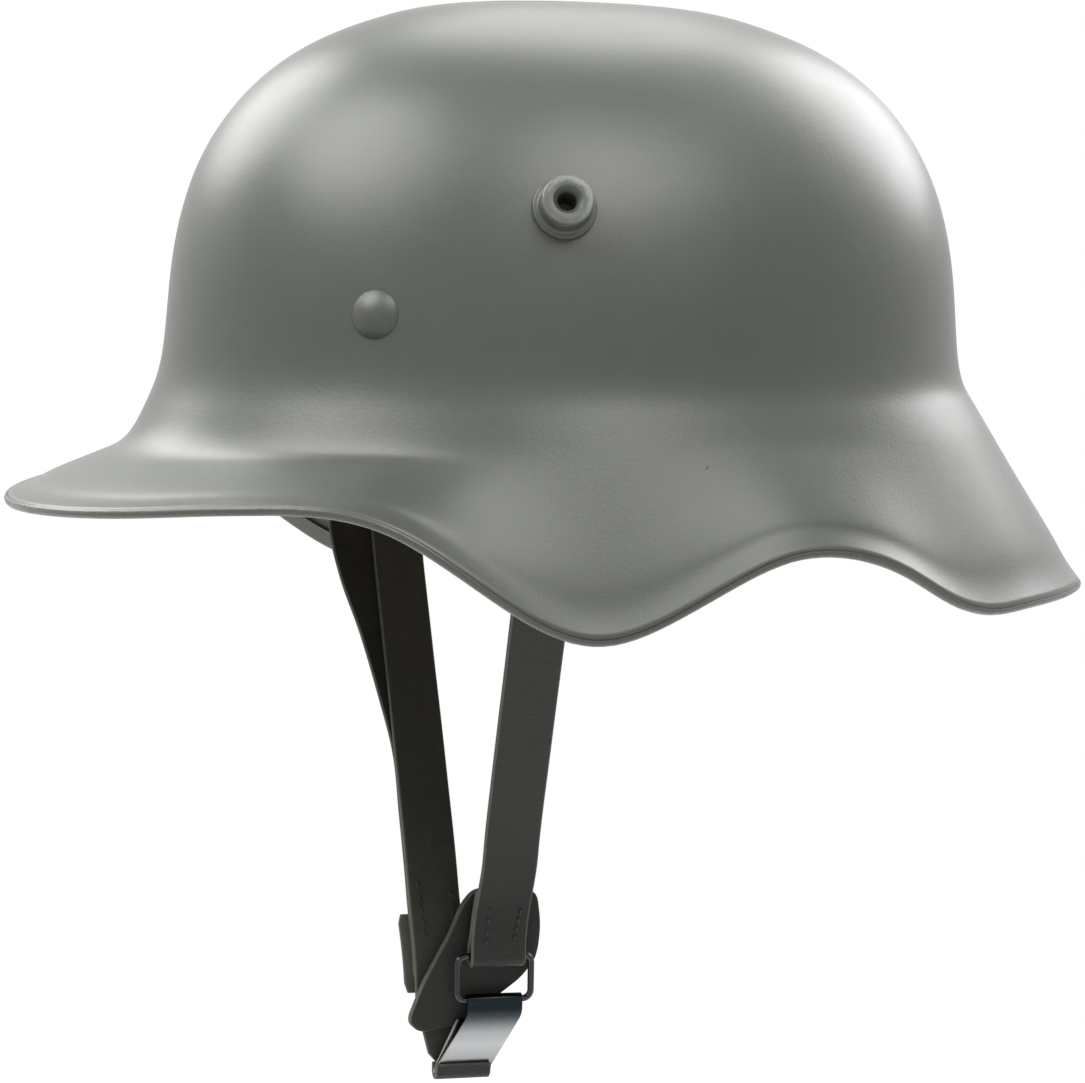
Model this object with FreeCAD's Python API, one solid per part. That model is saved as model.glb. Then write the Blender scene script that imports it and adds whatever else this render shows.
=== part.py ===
"""Steel combat helmet: flared shell with ear cut-outs, vent lugs, padded liner and chinstrap.

Millimetres. Front is -Y, the wearer's left is +X and up is +Z. The origin is the middle of the
head opening, on the level where the dome wall stands upright.
"""
import FreeCAD
import Part
import math
import os

V = FreeCAD.Vector
UP = V(0, 0, 1)
LEFT = V(1, 0, 0)
REAR = V(0, 1, 0)

# Driving sizes of the shell
half_width = 94.5          # dome at its widest, from the middle plane
front_reach = 102.5        # dome, origin to forehead
rear_reach = 122.5         # dome, origin to nape
crown_height = 101.5
crown_back = 8.0           # the crown stands a little behind the origin
sheet = 1.2                # steel thickness

# Fullness of the dome profile: 2 is an ellipse, more is squarer
fullness = [(0, 2.75), (90, 2.21), (180, 2.81)]

# Upright wall under the dome: how far it falls, and how far it leans out, before the skirt bends
wall_drop_front, wall_drop_side, wall_drop_rear = 22.0, 16.5, 13.0
wall_lean_front, wall_lean_side, wall_lean_rear = 10.0, 7.2, 8.4
bend_front_share, bend_side_share = 0.29, 0.12

# Rim: depth under the origin by the angle from the front
visor_drop = 37.0
brow_drop = 31.0
lobe_drop = 66.5
cutout_drop = 40.8
corner_drop = 61.7
nape_drop = 60.0

# Rim: reach outside the upright wall by the angle from the front
visor_reach = 44.0
brow_reach = 33.5
side_reach = 27.0
cutout_reach = 25.5
nape_reach = 43.0

lip_length = 8.0           # turned-out border of the skirt
lip_turn = 0.8
hem_radius = 1.5           # the edge is folded inwards into a bead
hem_proud = 0.3
hem_fold = 4.5

# Vent lugs
lug_angle = 79.7           # from the front, as every angle in plan
lug_height = 44.1
lug_flange_radius = 8.3
lug_flange_height = 1.7
lug_radius = 6.65
lug_length = 9.0
lug_edge = 0.7
lug_bore_radius = 2.5
lug_sink_radius = 3.75
lug_sink_depth = 1.6
lug_shank_radius = 4.2
lug_flare_radius = 6.6
lug_flare_thickness = 0.8
lug_flare_gap = 0.6        # under the sheet, which curves towards it
lug_seat_drop = 0.25       # the flange is cupped to the dome

# Liner rivets
rivet_angle = 51.6
rivet_height = 16.2
rivet_head_radius = 6.4
rivet_head_height = 2.6
rivet_head_stand = 0.35    # the wall's flare starts under the head's lower edge
rivet_head_shares = [(1.0, 0.0), (0.86, 0.36), (0.6, 0.74), (0.3, 0.94), (0.0, 1.0)]
rivet_shank_radius = 2.1
prong_length = 6.0
prong_width = 3.6
prong_thickness = 0.9
prong_gap = 0.25
spacer_radius = 4.5
spacer_gap = 0.5           # the rivet slants through the upright band

# Liner band
band_gap = 8.0             # from the waist of the dome outside to the band
band_thickness = 1.0
band_bottom = 3.0
band_top = 25.0

# Leather pads
pads = 3                   # left and right in front, one at the rear
fingers_per_pad = 2
leather = 1.8
pad_gap_angle = 5.0
crown_clearance = 24.0     # from the fingertips to the dome overhead
finger_rise_shares = [0.0, 0.22, 0.42, 0.6, 0.76, 0.86]
finger_width_shares = [0.76, 0.78, 0.8, 0.78, 0.7, 0.5]
crown_shares = [-1.0, -0.6, -0.2, 0.2, 0.6, 1.0]
lace_hole_radius = 2.2
lace_hole_share = 0.8
cushion_height = 34.0
cushion_thickness = 3.6
cushion_stand = 1.6        # clear of the leather's crowned fingers
cushion_span = 44.0        # degrees to each side of a pad's middle
cushion_rise_shares = [0.0, 0.1, 0.5, 0.9, 1.0]
cushion_crown_shares = [0.35, 0.85, 1.0, 0.85, 0.35]
pad_rivet_shares = [-0.42, 0.42]
pad_rivet_level = 8.0
pad_rivet_radius = 3.0
pad_rivet_shoulder = 2.2
pad_rivet_head = 0.8
pad_rivet_shank = 1.3

# Bails and their swivel plates
bail_y = -20.5
bail_wire = 1.1            # radius
bail_width = 22.0          # inside
bail_height = 9.0          # inside
bail_corner = 2.0
bail_tilt = 28.0           # degrees inwards, as the closed strap pulls it
plate_thickness = 0.8
plate_width = 11.0
plate_stand = 1.7          # from the band to the plate
swivel_radius = 2.0
swivel_head_radius = 3.6
swivel_head_height = 0.9
swivel_seat = 0.9          # the band slants away from the swivel's heads
swivel_level = 11.0
eye_level = -4.0
play = 0.1                 # radial play of rivets in holes and of wires in sheet eyes
strap_play = 0.35          # play of wires in leather folds

# Chinstrap
strap_width = 15.8
strap = 1.8                # leather thickness
strap_left_top_y = -18.6
strap_left_foot_y = -8.6
strap_left_foot_z = -168.5
strap_right_y = -22.3
strap_right_knee_x = 2.4
strap_right_knee_z = -180.0
strap_right_foot_x = 1.1
strap_right_foot_y = -17.5
strap_right_foot_z = -199.0
strap_layer_gap = 0.2
hang_x_shares = [0.0, 0.12, 0.3, 0.52, 0.74, 0.9, 0.98, 1.0]
hang_z_shares = [0.0, 0.1, 0.25, 0.44, 0.63, 0.78, 0.89, 1.0]
left_turnback = 34.0
foot_turnback = 20.0
close_length = 8.0         # over which two layers close up beyond a fold
tab_foot_z = -177.5
tab_corner = 3.0
tab_bow = 11.9             # the long end bows forwards under the rim
tab_bow_shares = [0.0, 0.5, 1.0, 0.87, 0.5, 0.22, 0.0, 0.08, 0.18, 0.23, 0.16]
strap_steps = 24
fold_steps = 6

# Release frame and hook
frame_x = 6.0
frame_y = -9.2
frame_wire = 0.95          # radius
frame_width = 23.4         # outside
frame_height = 14.4        # outside
frame_corner = 1.8
hook_sheet = 0.7
hook_width = 16.0
hook_straight = 4.0
hook_foot_x = 2.8
hook_foot_y = -17.5
hook_foot_z = -199.0
hook_nip = 0.6             # between the leaves at the foot
hook_back_x = 3.9
hook_back_share = 0.28     # how far below the bar the back leaf ends
shoe = 1.4                 # leather round the foot of the hook
shoe_rise = 1.8
shoe_flare_share = 0.3

# Backing flap behind the frame
flap_x = 1.15
flap_sheet = 1.5
flap_front_y = -32.4
flap_top_z = -147.0
flap_width = 37.7
flap_length = 40.3
flap_outline_shares = [
    (0.485, 0.0), (0.38, 0.12), (0.31, 0.29), (0.1, 0.65), (0.0, 0.89), (0.0, 0.94),
    (0.055, 0.99), (0.13, 1.0), (0.185, 0.98), (0.38, 0.95), (0.67, 0.76), (0.86, 0.63),
    (0.96, 0.51), (0.985, 0.42), (1.0, 0.26), (0.97, 0.02)]

overrun = 3.0              # how far cutting tools reach past a face
seat_gap = 0.3             # between faces that meet across a curve
seat_play = 0.1            # between a small rivet's heads and what they hold

# Stations of the shell's control net, and of the rings that its solid is built on
net_columns = 48
dome_turns = [0.0, 0.12, 0.24, 0.38, 0.52, 0.66, 0.78, 0.9, 1.0]
skirt_shares = [0.45, 0.75]
dome_drop_shares = [0.02, 0.08, 0.2, 0.35, 0.49, 0.57, 0.65, 0.78, 0.86, 0.93, 0.995]
skirt_stations = [8.2, 9.2, 10.4, 11.6]
hem_facets = 2
dome_step = 2              # columns of the net from point to point of a dome ring
oval_arcs = 12

# Where the sides and the rear lie, in degrees from the front
side_angle = 90.0
rear_angle = 180.0

# Worked out from the above
pad_angle = 360.0 / pads
finger_angle = pad_angle / fingers_per_pad
leather_inset = band_gap + band_thickness + prong_gap + prong_thickness + seat_gap
head_rise = crown_height - sheet - crown_clearance - band_top
liner_rivet_angles = [rivet_angle, rear_angle, -rivet_angle]
bail_bar_drop = bail_height + 2 * bail_wire
bail_fold = bail_wire + strap_play + strap / 2
foot_fold = frame_wire + strap_play + strap / 2
frame_bar_z = strap_left_foot_z + foot_fold + strap / 2
eye_radius = bail_wire + play
hook_bend = (hook_sheet + hook_nip) / 2
swivel_window = swivel_head_radius + seat_gap


def smooth_table(table, angle):
    """Value at an angle from the front, from a table of (angle, value) mirrored about the middle."""
    angles = [row[0] for row in table]
    values = [row[1] for row in table]
    steps = [b - a for a, b in zip(angles, angles[1:])]
    secants = [(b - a) / step for a, b, step in zip(values, values[1:], steps)]
    slopes = [0.0]
    for i in range(1, len(table) - 1):
        before, after = secants[i - 1], secants[i]
        if before * after <= 0:
            slopes.append(0.0)
            continue
        w1 = 2 * steps[i] + steps[i - 1]
        w2 = steps[i] + 2 * steps[i - 1]
        slopes.append((w1 + w2) / (w1 / before + w2 / after))
    slopes.append(0.0)
    angle = abs((angle + 180.0) % 360.0 - 180.0)
    for i, step in enumerate(steps):
        if angle <= angles[i + 1]:
            t = (angle - angles[i]) / step
            start = (1 + 2 * t) * (1 - t) ** 2 * values[i] + t * (1 - t) ** 2 * step * slopes[i]
            end = t * t * (3 - 2 * t) * values[i + 1] - t * t * (1 - t) * step * slopes[i + 1]
            return start + end
    return values[-1]


def between(a, b, share):
    return a + (b - a) * share


rim_drop = [
    (0, visor_drop),
    (25, between(visor_drop, brow_drop, 0.3)),
    (40, between(visor_drop, brow_drop, 0.8)),
    (52, brow_drop),
    (62, between(brow_drop, lobe_drop, 0.155)),
    (72, between(brow_drop, lobe_drop, 0.675)),
    (84, lobe_drop),
    (96, between(lobe_drop, cutout_drop, 0.535)),
    (108, cutout_drop),
    (120, between(cutout_drop, corner_drop, 0.325)),
    (132, corner_drop),
    (145, between(corner_drop, nape_drop, 0.8)),
    (180, nape_drop),
]
rim_reach = [
    (0, visor_reach),
    (20, visor_reach),
    (40, between(visor_reach, brow_reach, 0.45)),
    (60, brow_reach),
    (80, between(brow_reach, side_reach, 0.85)),
    (100, cutout_reach),
    (120, between(cutout_reach, nape_reach, 0.19)),
    (140, between(cutout_reach, nape_reach, 0.27)),
    (160, between(cutout_reach, nape_reach, 0.52)),
    (180, nape_reach),
]
wall_drop = [(0, wall_drop_front), (90, wall_drop_side), (180, wall_drop_rear)]
wall_lean = [(0, wall_lean_front), (90, wall_lean_side), (180, wall_lean_rear)]
bend_share = [(0, bend_front_share), (60, bend_side_share), (180, bend_side_share)]


def plan(angle):
    """Point of the waist oval at an angle from the front, and its outward direction."""
    a = math.radians(angle)
    reach = front_reach if math.cos(a) > 0 else rear_reach
    point = V(half_width * math.sin(a), -reach * math.cos(a), 0)
    out = V(point.x / half_width ** 2, point.y / reach ** 2, 0)
    return point, out.normalize()


def net_column(angle):
    """Control points of the outer surface from the crown down to the hem, at one angle."""
    waist, out = plan(angle)
    crown = V(0, crown_back, crown_height)
    power = 2.0 / smooth_table(fullness, angle)
    points = []
    for turn in dome_turns:
        a = turn * math.pi / 2
        spread = math.sin(a) ** power if turn > 0 else 0.0
        rise = math.cos(a) ** power if turn < 1 else 0.0
        if turn <= dome_turns[1]:
            rise = 1.0
        flat = V(crown.x, crown.y, 0) * (1 - spread) + waist * spread
        points.append(flat + UP * (crown_height * rise))
    fall = smooth_table(wall_drop, angle)
    lean = smooth_table(wall_lean, angle)
    points.append(waist + out * (lean / 2) - UP * (fall / 2))
    knee = waist + out * lean - UP * fall
    points.append(knee)
    tip = waist + out * smooth_table(rim_reach, angle) - UP * smooth_table(rim_drop, angle)
    for share in [smooth_table(bend_share, angle)] + skirt_shares:
        points.append(knee + (tip - knee) * share)
    along = (tip - knee).normalize()
    slope_out = along.dot(out)
    skirt_normal = out * (-along.z) + UP * slope_out
    lip = tip - along * lip_length - skirt_normal * lip_turn
    points.append(lip)
    points.append(tip - (tip - lip).normalize() * hem_radius)
    return points


def sewn(faces):
    """Solid inside faces that meet edge to edge."""
    skin = Part.makeCompound(faces)
    skin.sewShape()
    solid = Part.makeSolid(Part.Shell(skin.Faces))
    if solid.Volume < 0:
        solid.reverse()
    return solid


def closed_curve(points):
    """Smooth closed edge through points spaced evenly round the shell."""
    curve = Part.BSplineCurve()
    curve.interpolate(Points=points, PeriodicFlag=True, Parameters=list(range(len(points) + 1)))
    return curve.toShape()


class ShellForm:
    """The shell's outer surface, the rings that its solid is built on, and places for its fittings."""

    def __init__(self):
        poles = [net_column(360.0 * j / net_columns) for j in range(net_columns)]
        spans = len(poles[0]) - 3
        self.last = float(spans)
        self.outer = Part.BSplineSurface()
        self.outer.buildFromPolesMultsKnots(
            poles, [1] * (net_columns + 1), [4] + [1] * (spans - 1) + [4],
            list(range(net_columns + 1)), list(range(spans + 1)), True, False, 3, 3)

    def normal(self, u, v):
        normal = self.outer.normal(u, v)
        point = self.outer.value(u, v)
        if normal.dot(V(point.x, point.y - crown_back, 0)) < 0:
            normal = normal * -1
        return normal

    def ring(self, v, depth=0.0, along=0.0):
        """Closed curve round the shell, under its surface by a depth and moved down its slope."""
        points = []
        for u in range(net_columns):
            slope = self.outer.tangent(u, v)[1]
            points.append(self.outer.value(u, v) - self.normal(u, v) * depth + slope * along)
        return closed_curve(points)

    def at_height(self, u, height, depth):
        """Point at a height on the surface that lies under the outer one by a depth."""
        low, high = 0.0, self.last - 3
        for _ in range(40):
            middle = (low + high) / 2
            point = self.outer.value(u, middle) - self.normal(u, middle) * depth
            if point.z > height:
                low = middle
            else:
                high = middle
        return V(point.x, point.y, height)

    def level_ring(self, height, depth):
        """Level section of the dome."""
        return closed_curve([self.at_height(u, height, depth)
                             for u in range(0, net_columns, dome_step)])

    def solid(self):
        """Crown discs, rings down the outside, round the bead and the fold, and back up the inside."""
        rings = [self.level_ring(crown_height * (1 - share), 0.0) for share in dome_drop_shares]
        rings += [self.ring(v) for v in skirt_stations + [self.last]]
        bead = hem_radius + hem_proud / 2
        for i in range(hem_facets + 1):
            a = math.pi * i / hem_facets
            rings.append(self.ring(self.last, 2 * hem_radius - bead - bead * math.cos(a),
                                   bead * math.sin(a)))
        rings.append(self.ring(self.last, 2 * hem_radius, -hem_fold))
        rings.append(self.ring(self.last, sheet, -hem_fold))
        rings += [self.ring(v, sheet) for v in skirt_stations[::-1]]
        rings += [self.level_ring(crown_height * (1 - share) - sheet, sheet)
                  for share in dome_drop_shares[::-1]]
        faces = [Part.Face(Part.Wire([ring])) for ring in (rings[0], rings[-1])]
        for start, end in zip(rings, rings[1:]):
            faces.append(Part.makeRuledSurface(start, end))
        return sewn(faces)

    def place(self, angle, height):
        """Point of the outer surface at an angle from the front and a height, and its normal."""
        u = (angle / 360.0 * net_columns - 1) % net_columns
        low, high = 0.0, self.last - 3
        for _ in range(60):
            middle = (low + high) / 2
            if self.outer.value(u, middle).z > height:
                low = middle
            else:
                high = middle
        return self.outer.value(u, low), self.normal(u, low)


def mirrored(shape):
    return shape.mirror(V(0, 0, 0), LEFT)


def turned(shape, direction, point):
    """A shape made on the Z axis, laid with that axis along a direction through a point."""
    shape = shape.copy()
    shape.Placement = FreeCAD.Placement(point, FreeCAD.Rotation(UP, direction))
    return shape


def tilted(shape, pivot, axis, degrees):
    shape = shape.copy()
    shape.rotate(pivot, axis, degrees)
    return shape


def revolve_profile(outline):
    """Solid of revolution about Z from (radius, height) corners."""
    points = [V(r, 0, z) for r, z in outline]
    return Part.Face(Part.makePolygon(points + [points[0]])).revolve(V(0, 0, 0), UP, 360)


def hole(point, normal, radius, front, back):
    """Cutting cylinder through a sheet at a point, from front above it to back below it."""
    return Part.makeCylinder(radius, front + back, point - normal * back, normal)


def vent_lug(form):
    """Hollow stepped lug, spread over inside the shell."""
    deep = -(sheet + lug_flare_gap)
    flare = deep - lug_flare_thickness
    body = revolve_profile([
        (lug_bore_radius, flare), (lug_flare_radius, flare), (lug_flare_radius, deep),
        (lug_shank_radius, deep), (lug_shank_radius, 0), (lug_flange_radius, -lug_seat_drop),
        (lug_flange_radius, lug_flange_height - lug_edge),
        (lug_flange_radius - lug_edge, lug_flange_height), (lug_radius, lug_flange_height),
        (lug_radius, lug_length - lug_edge), (lug_radius - lug_edge, lug_length),
        (lug_sink_radius, lug_length), (lug_bore_radius, lug_length - lug_sink_depth)])
    point, normal = form.place(lug_angle, lug_height)
    return turned(body, normal, point)


def band_depth(form, angle):
    """Distance along a liner rivet from the shell's outside to the band."""
    point, normal = form.place(angle, rivet_height)
    waist, out = plan(angle)
    return ((point - waist).dot(out) + band_gap) / normal.dot(out)


def liner_rivet(form, angle):
    """Split rivet: domed head outside, shank through shell, spacer and band, prongs bent up and down."""
    point, normal = form.place(angle, rivet_height)
    waist, out = plan(angle)
    under = band_depth(form, angle) + band_thickness + prong_gap
    length = under + prong_thickness / 2
    outline = [(0, -length), (rivet_shank_radius, -length), (rivet_shank_radius, rivet_head_stand)]
    for out_share, up_share in rivet_head_shares:
        outline.append((rivet_head_radius * out_share,
                        between(rivet_head_stand, rivet_head_height, up_share)))
    body = revolve_profile(outline)
    body = turned(body, normal, point)
    foot = point - normal * under
    prongs = Part.makeBox(prong_width, 2 * prong_length, prong_thickness,
                          V(-prong_width / 2, -prong_length, 0))
    prongs = turned(prongs, out * -1, foot)
    return body.fuse(prongs).removeSplitter()


def spacer(form, angle):
    """Tube on a liner rivet that holds the band off the shell."""
    point, normal = form.place(angle, rivet_height)
    start = sheet + seat_gap
    length = band_depth(form, angle) - spacer_gap - start
    tube = Part.makeCylinder(spacer_radius, length).cut(
        Part.makeCylinder(rivet_shank_radius + play, length + overrun, V(0, 0, -overrun / 2)))
    return turned(tube, normal * -1, point - normal * start)


def oval_ring(outer_inset, inner_inset, bottom, top):
    """Upright ring between two curves that follow the waist oval at an inset."""
    prisms = []
    for inset in (outer_inset, inner_inset):
        points = []
        for j in range(2 * oval_arcs + 1):
            point, out = plan(180.0 * j / oval_arcs)
            points.append(point - out * inset + UP * bottom)
        arcs = [Part.Arc(*points[i:i + 3]).toShape() for i in range(0, 2 * oval_arcs, 2)]
        prisms.append(Part.Face(Part.Wire(arcs)).extrude(UP * (top - bottom)))
    return prisms[0].cut(prisms[1])


def wedge(start, end, bottom, top):
    """Sector between two angles from the front that reaches past the skirt."""
    reach = 2 * rear_reach
    count = int((end - start) / 30) + 1
    points = [V(0, 0, bottom)]
    for i in range(count + 1):
        point, out = plan(start + (end - start) * i / count)
        points.append(V(point.x, point.y, 0).normalize() * reach + UP * bottom)
    return Part.Face(Part.makePolygon(points + [points[0]])).extrude(UP * (top - bottom))


def finger_frame(angle, share):
    """Where a finger's outside lies at a share of its rise: point, normal, side, radius and reach."""
    waist, out = plan(angle)
    centre = V(0, crown_back, 0)
    spoke = waist - out * leather_inset - centre
    a = share * math.pi / 2
    point = centre + spoke * math.cos(a) + UP * (band_top + head_rise * math.sin(a))
    tilt = out * (math.cos(a) * head_rise) + UP * (spoke.Length * math.sin(a))
    ahead, _ = plan(angle + finger_angle / 2)
    behind, _ = plan(angle - finger_angle / 2)
    chord = (ahead - behind).Length / 2
    sag = ((ahead + behind) * 0.5 - waist).Length
    radius = (chord ** 2 + sag ** 2) / (2 * sag) - leather_inset
    side = UP.cross(out)
    return point, tilt.normalize(), side, radius * math.cos(a), spoke.Length * math.cos(a)


def crowned_section(point, normal, side, radius, width, thickness):
    """Corners on two arcs: a crowned strip seen end on."""
    rows = []
    for depth in (0.0, thickness):
        row = []
        for share in crown_shares:
            a = share * width / 2 / radius
            r = radius - depth
            row.append(point + side * (r * math.sin(a)) - normal * (radius - r * math.cos(a)))
        rows.append(row)
    return rows[0] + rows[1][::-1]


def flat_face(points):
    return Part.Face(Part.makePolygon(points + [points[0]]))


def skinned(sections):
    """Solid of flat facets over flat sections, each a round of as many corners."""
    faces = [flat_face(sections[0]), flat_face(sections[-1])]
    for low, high in zip(sections, sections[1:]):
        for i, corner in enumerate(low):
            faces.append(flat_face([low[i - 1], corner, high[i]]))
            faces.append(flat_face([low[i - 1], high[i], high[i - 1]]))
    return sewn(faces)


def finger(angle):
    """One tongue of liner leather, from the band up to its pierced tip."""
    sections = []
    for share, width in zip(finger_rise_shares, finger_width_shares):
        point, normal, side, radius, reach = finger_frame(angle, share)
        spacing = 2 * reach * math.tan(math.radians(finger_angle / 2))
        sections.append(crowned_section(point, normal, side, radius, width * spacing, leather))
    body = skinned(sections)
    point, normal, side, radius, reach = finger_frame(angle, lace_hole_share)
    return body.cut(hole(point, normal, lace_hole_radius, overrun, overrun))


def pad_leather(index):
    """Leather of one pad: a strip along the band that splits into fingers over the head."""
    middle = pad_middle(index)
    half = pad_angle / 2 - pad_gap_angle / 2
    strip = oval_ring(leather_inset, leather_inset + leather, band_bottom, band_top + leather)
    body = strip.common(wedge(middle - half, middle + half, band_bottom - overrun,
                              band_top + leather + overrun))
    for k in range(fingers_per_pad):
        body = body.fuse(finger(middle + (k - (fingers_per_pad - 1) / 2) * finger_angle))
    for angle in pad_rivet_angles(index):
        waist, out = plan(angle)
        body = body.cut(hole(waist + UP * pad_rivet_level, out, pad_rivet_shank + play,
                             0, 2 * leather_inset))
    for side in (-1, 1):
        start = V(side * half_width / 2, bail_y, swivel_level)
        body = body.cut(Part.makeCylinder(swivel_window, half_width, start, LEFT * side))
    return body


def cushion(index):
    """Stuffed pad between a liner leather and the dome, crowned and drawn in at its edges."""
    middle = pad_middle(index)
    centre = V(0, crown_back, 0)
    sections = []
    for share, crown in zip(cushion_rise_shares, cushion_crown_shares):
        height = cushion_height * share
        lean = 1 - math.sqrt(1 - (height / head_rise) ** 2)
        spread = cushion_span * between(0.85, 1.0, crown)
        lift = UP * (band_top + leather + seat_gap + height)
        rows = []
        for stand in (cushion_stand + cushion_thickness * crown, cushion_stand):
            row = []
            for share_round in crown_shares:
                waist, out = plan(middle + share_round * spread)
                base = waist - out * leather_inset
                row.append(base + (centre - base) * lean + out * stand + lift)
            rows.append(row)
        sections.append(rows[0] + rows[1][::-1])
    return skinned(sections)


def pad_rivet_angles(index):
    return [pad_middle(index) + share * (pad_angle - 2 * pad_gap_angle) for share in pad_rivet_shares]


def pad_rivets(index):
    """Small rivets that hold a pad's leather to the band, with a shoulder between the two."""
    outside = band_gap - pad_rivet_head
    inside = leather_inset + leather + pad_rivet_head
    rivets = []
    for angle in pad_rivet_angles(index):
        waist, out = plan(angle)
        body = revolve_profile([
            (0, 0), (pad_rivet_radius, 0), (pad_rivet_radius, pad_rivet_head - seat_play),
            (pad_rivet_shank, pad_rivet_head - seat_play),
            (pad_rivet_shank, pad_rivet_head + leather + seat_play),
            (pad_rivet_shoulder, pad_rivet_head + leather + seat_play),
            (pad_rivet_shoulder, inside - band_gap - band_thickness - seat_play),
            (pad_rivet_shank, inside - band_gap - band_thickness - seat_play),
            (pad_rivet_shank, inside - band_gap + seat_play),
            (pad_rivet_shoulder, inside - band_gap + seat_play),
            (pad_rivet_shoulder, inside - outside), (0, inside - outside)])
        rivets.append(turned(body, out, waist + UP * pad_rivet_level - out * inside))
    return Part.makeCompound(rivets)


def band_outside_x(y):
    """How far from the middle plane the band's outside lies at a place along the helmet."""
    low, high = (0.0, side_angle) if y < 0 else (side_angle, rear_angle)
    for _ in range(50):
        middle = (low + high) / 2
        waist, out = plan(middle)
        if (waist - out * band_gap).y < y:
            low = middle
        else:
            high = middle
    waist, out = plan(low)
    return (waist - out * band_gap).x


def liner_band(form):
    """Steel band that the pads are riveted to, drilled for every rivet."""
    band = oval_ring(band_gap, band_gap + band_thickness, band_bottom, band_top)
    cuts = []
    for angle in liner_rivet_angles:
        point, normal = form.place(angle, rivet_height)
        cuts.append(hole(point, normal, rivet_shank_radius + play, 0, 3 * band_gap))
    for index in range(pads):
        for angle in pad_rivet_angles(index):
            waist, out = plan(angle)
            cuts.append(hole(waist + UP * pad_rivet_level, out, pad_rivet_shank + play,
                             0, 2 * leather_inset))
    for side in (-1, 1):
        start = V(side * half_width / 2, bail_y, swivel_level)
        cuts.append(Part.makeCylinder(swivel_radius + play, half_width, start, LEFT * side))
    return band.cut(cuts)


def pad_middle(index):
    return pad_angle * (index + 0.5)


plate_x = band_outside_x(bail_y) + plate_stand
eye_x = plate_x + plate_thickness / 2
bail_bar_x = eye_x - bail_bar_drop * math.sin(math.radians(bail_tilt))
bail_bar_z = eye_level - bail_bar_drop * math.cos(math.radians(bail_tilt))


def swivel_rivet():
    """Shouldered rivet that a bail plate turns on, headed inside the band and outside the plate."""
    wall = band_outside_x(bail_y)
    back = wall - band_thickness - swivel_seat
    face = plate_x + plate_thickness + play
    profile = revolve_profile([
        (0, 0), (swivel_head_radius, 0), (swivel_head_radius, swivel_head_height),
        (swivel_radius, swivel_head_height),
        (swivel_radius, wall + swivel_seat - back + swivel_head_height),
        (swivel_head_radius, wall + swivel_seat - back + swivel_head_height),
        (swivel_head_radius, plate_x - play - back + swivel_head_height),
        (swivel_radius, plate_x - play - back + swivel_head_height),
        (swivel_radius, face - back + swivel_head_height),
        (swivel_head_radius, face - back + swivel_head_height),
        (swivel_head_radius, face - back + 2 * swivel_head_height),
        (0, face - back + 2 * swivel_head_height)])
    return turned(profile, LEFT, V(back - swivel_head_height, bail_y, swivel_level))


def bail_plate():
    """Sheet plate that turns on its rivet and is rolled into an eye round the bail."""
    crown = swivel_level + plate_width / 2
    blank = Part.makeBox(plate_thickness, plate_width, crown - eye_level,
                         V(plate_x, bail_y - plate_width / 2, eye_level))
    round_top = Part.makeCylinder(plate_width / 2, plate_thickness,
                                  V(plate_x, bail_y, swivel_level), LEFT)
    square_top = Part.makeBox(plate_thickness, plate_width, plate_width / 2,
                              V(plate_x, bail_y - plate_width / 2, swivel_level))
    blank = blank.cut(square_top).fuse(round_top)
    blank = blank.cut(Part.makeCylinder(swivel_radius + play, plate_thickness + overrun,
                                        V(plate_x - overrun / 2, bail_y, swivel_level), LEFT))
    eye = Part.makeCylinder(eye_radius + plate_thickness, plate_width,
                            V(eye_x, bail_y - plate_width / 2, eye_level), REAR)
    bore = Part.makeCylinder(eye_radius, plate_width + overrun,
                             V(eye_x, bail_y - (plate_width + overrun) / 2, eye_level), REAR)
    return blank.fuse(eye).cut(bore).removeSplitter()


def wire_loop(width, height, corner, wire):
    """Closed wire rectangle with mitred corners, hung from the middle of its top bar, facing X."""
    half = width / 2
    corners = [V(0, -half, 0), V(0, half, 0), V(0, half, -height), V(0, -half, -height)]
    points = []
    for i, here in enumerate(corners):
        before, after = corners[i - 1], corners[(i + 1) % 4]
        points.append(here + (before - here).normalize() * corner)
        points.append(here + (after - here).normalize() * corner)
    start = (points[0] + points[-1]) * 0.5
    section = Part.Wire([Part.makeCircle(wire, start, UP)])
    sweep = Part.BRepOffsetAPI.MakePipeShell(Part.makePolygon([start] + points + [start]))
    sweep.setTransitionMode(1)
    sweep.add(section)
    sweep.build()
    sweep.makeSolid()
    return sweep.shape()


def bail():
    """Wire loop that the strap hangs from."""
    loop = wire_loop(bail_width + 2 * bail_wire, bail_bar_drop, bail_corner, bail_wire)
    loop.translate(V(eye_x, bail_y, eye_level))
    return tilted(loop, V(eye_x, bail_y, eye_level), REAR, bail_tilt)


def side_of(a, b):
    """Unit normal of a path step in the XZ plane, outward for a step that runs down."""
    return V(a.z - b.z, 0, b.x - a.x).normalize()


def with_normals(points):
    """Path points with the path's normal at each."""
    stations = []
    for i, point in enumerate(points):
        before = points[max(i - 1, 0)]
        after = points[min(i + 1, len(points) - 1)]
        stations.append((point, side_of(before, after)))
    return stations


def strip(points, width, thickness):
    """Flat strip along a path, its width along Y."""
    sections = []
    for point, normal in with_normals(points):
        w = REAR * (width / 2)
        n = normal * (thickness / 2)
        corners = [point - w - n, point + w - n, point + w + n, point - w + n]
        sections.append(Part.makePolygon(corners + [corners[0]]))
    return Part.makeLoft(sections, True, True)


def around(bar, radius, start, end, count):
    """Points round a bar between two angles, in degrees in the XZ plane."""
    points = []
    for i in range(count + 1):
        a = math.radians(between(start, end, i / count))
        points.append(V(bar.x + radius * math.cos(a), bar.y, bar.z + radius * math.sin(a)))
    return points


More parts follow.
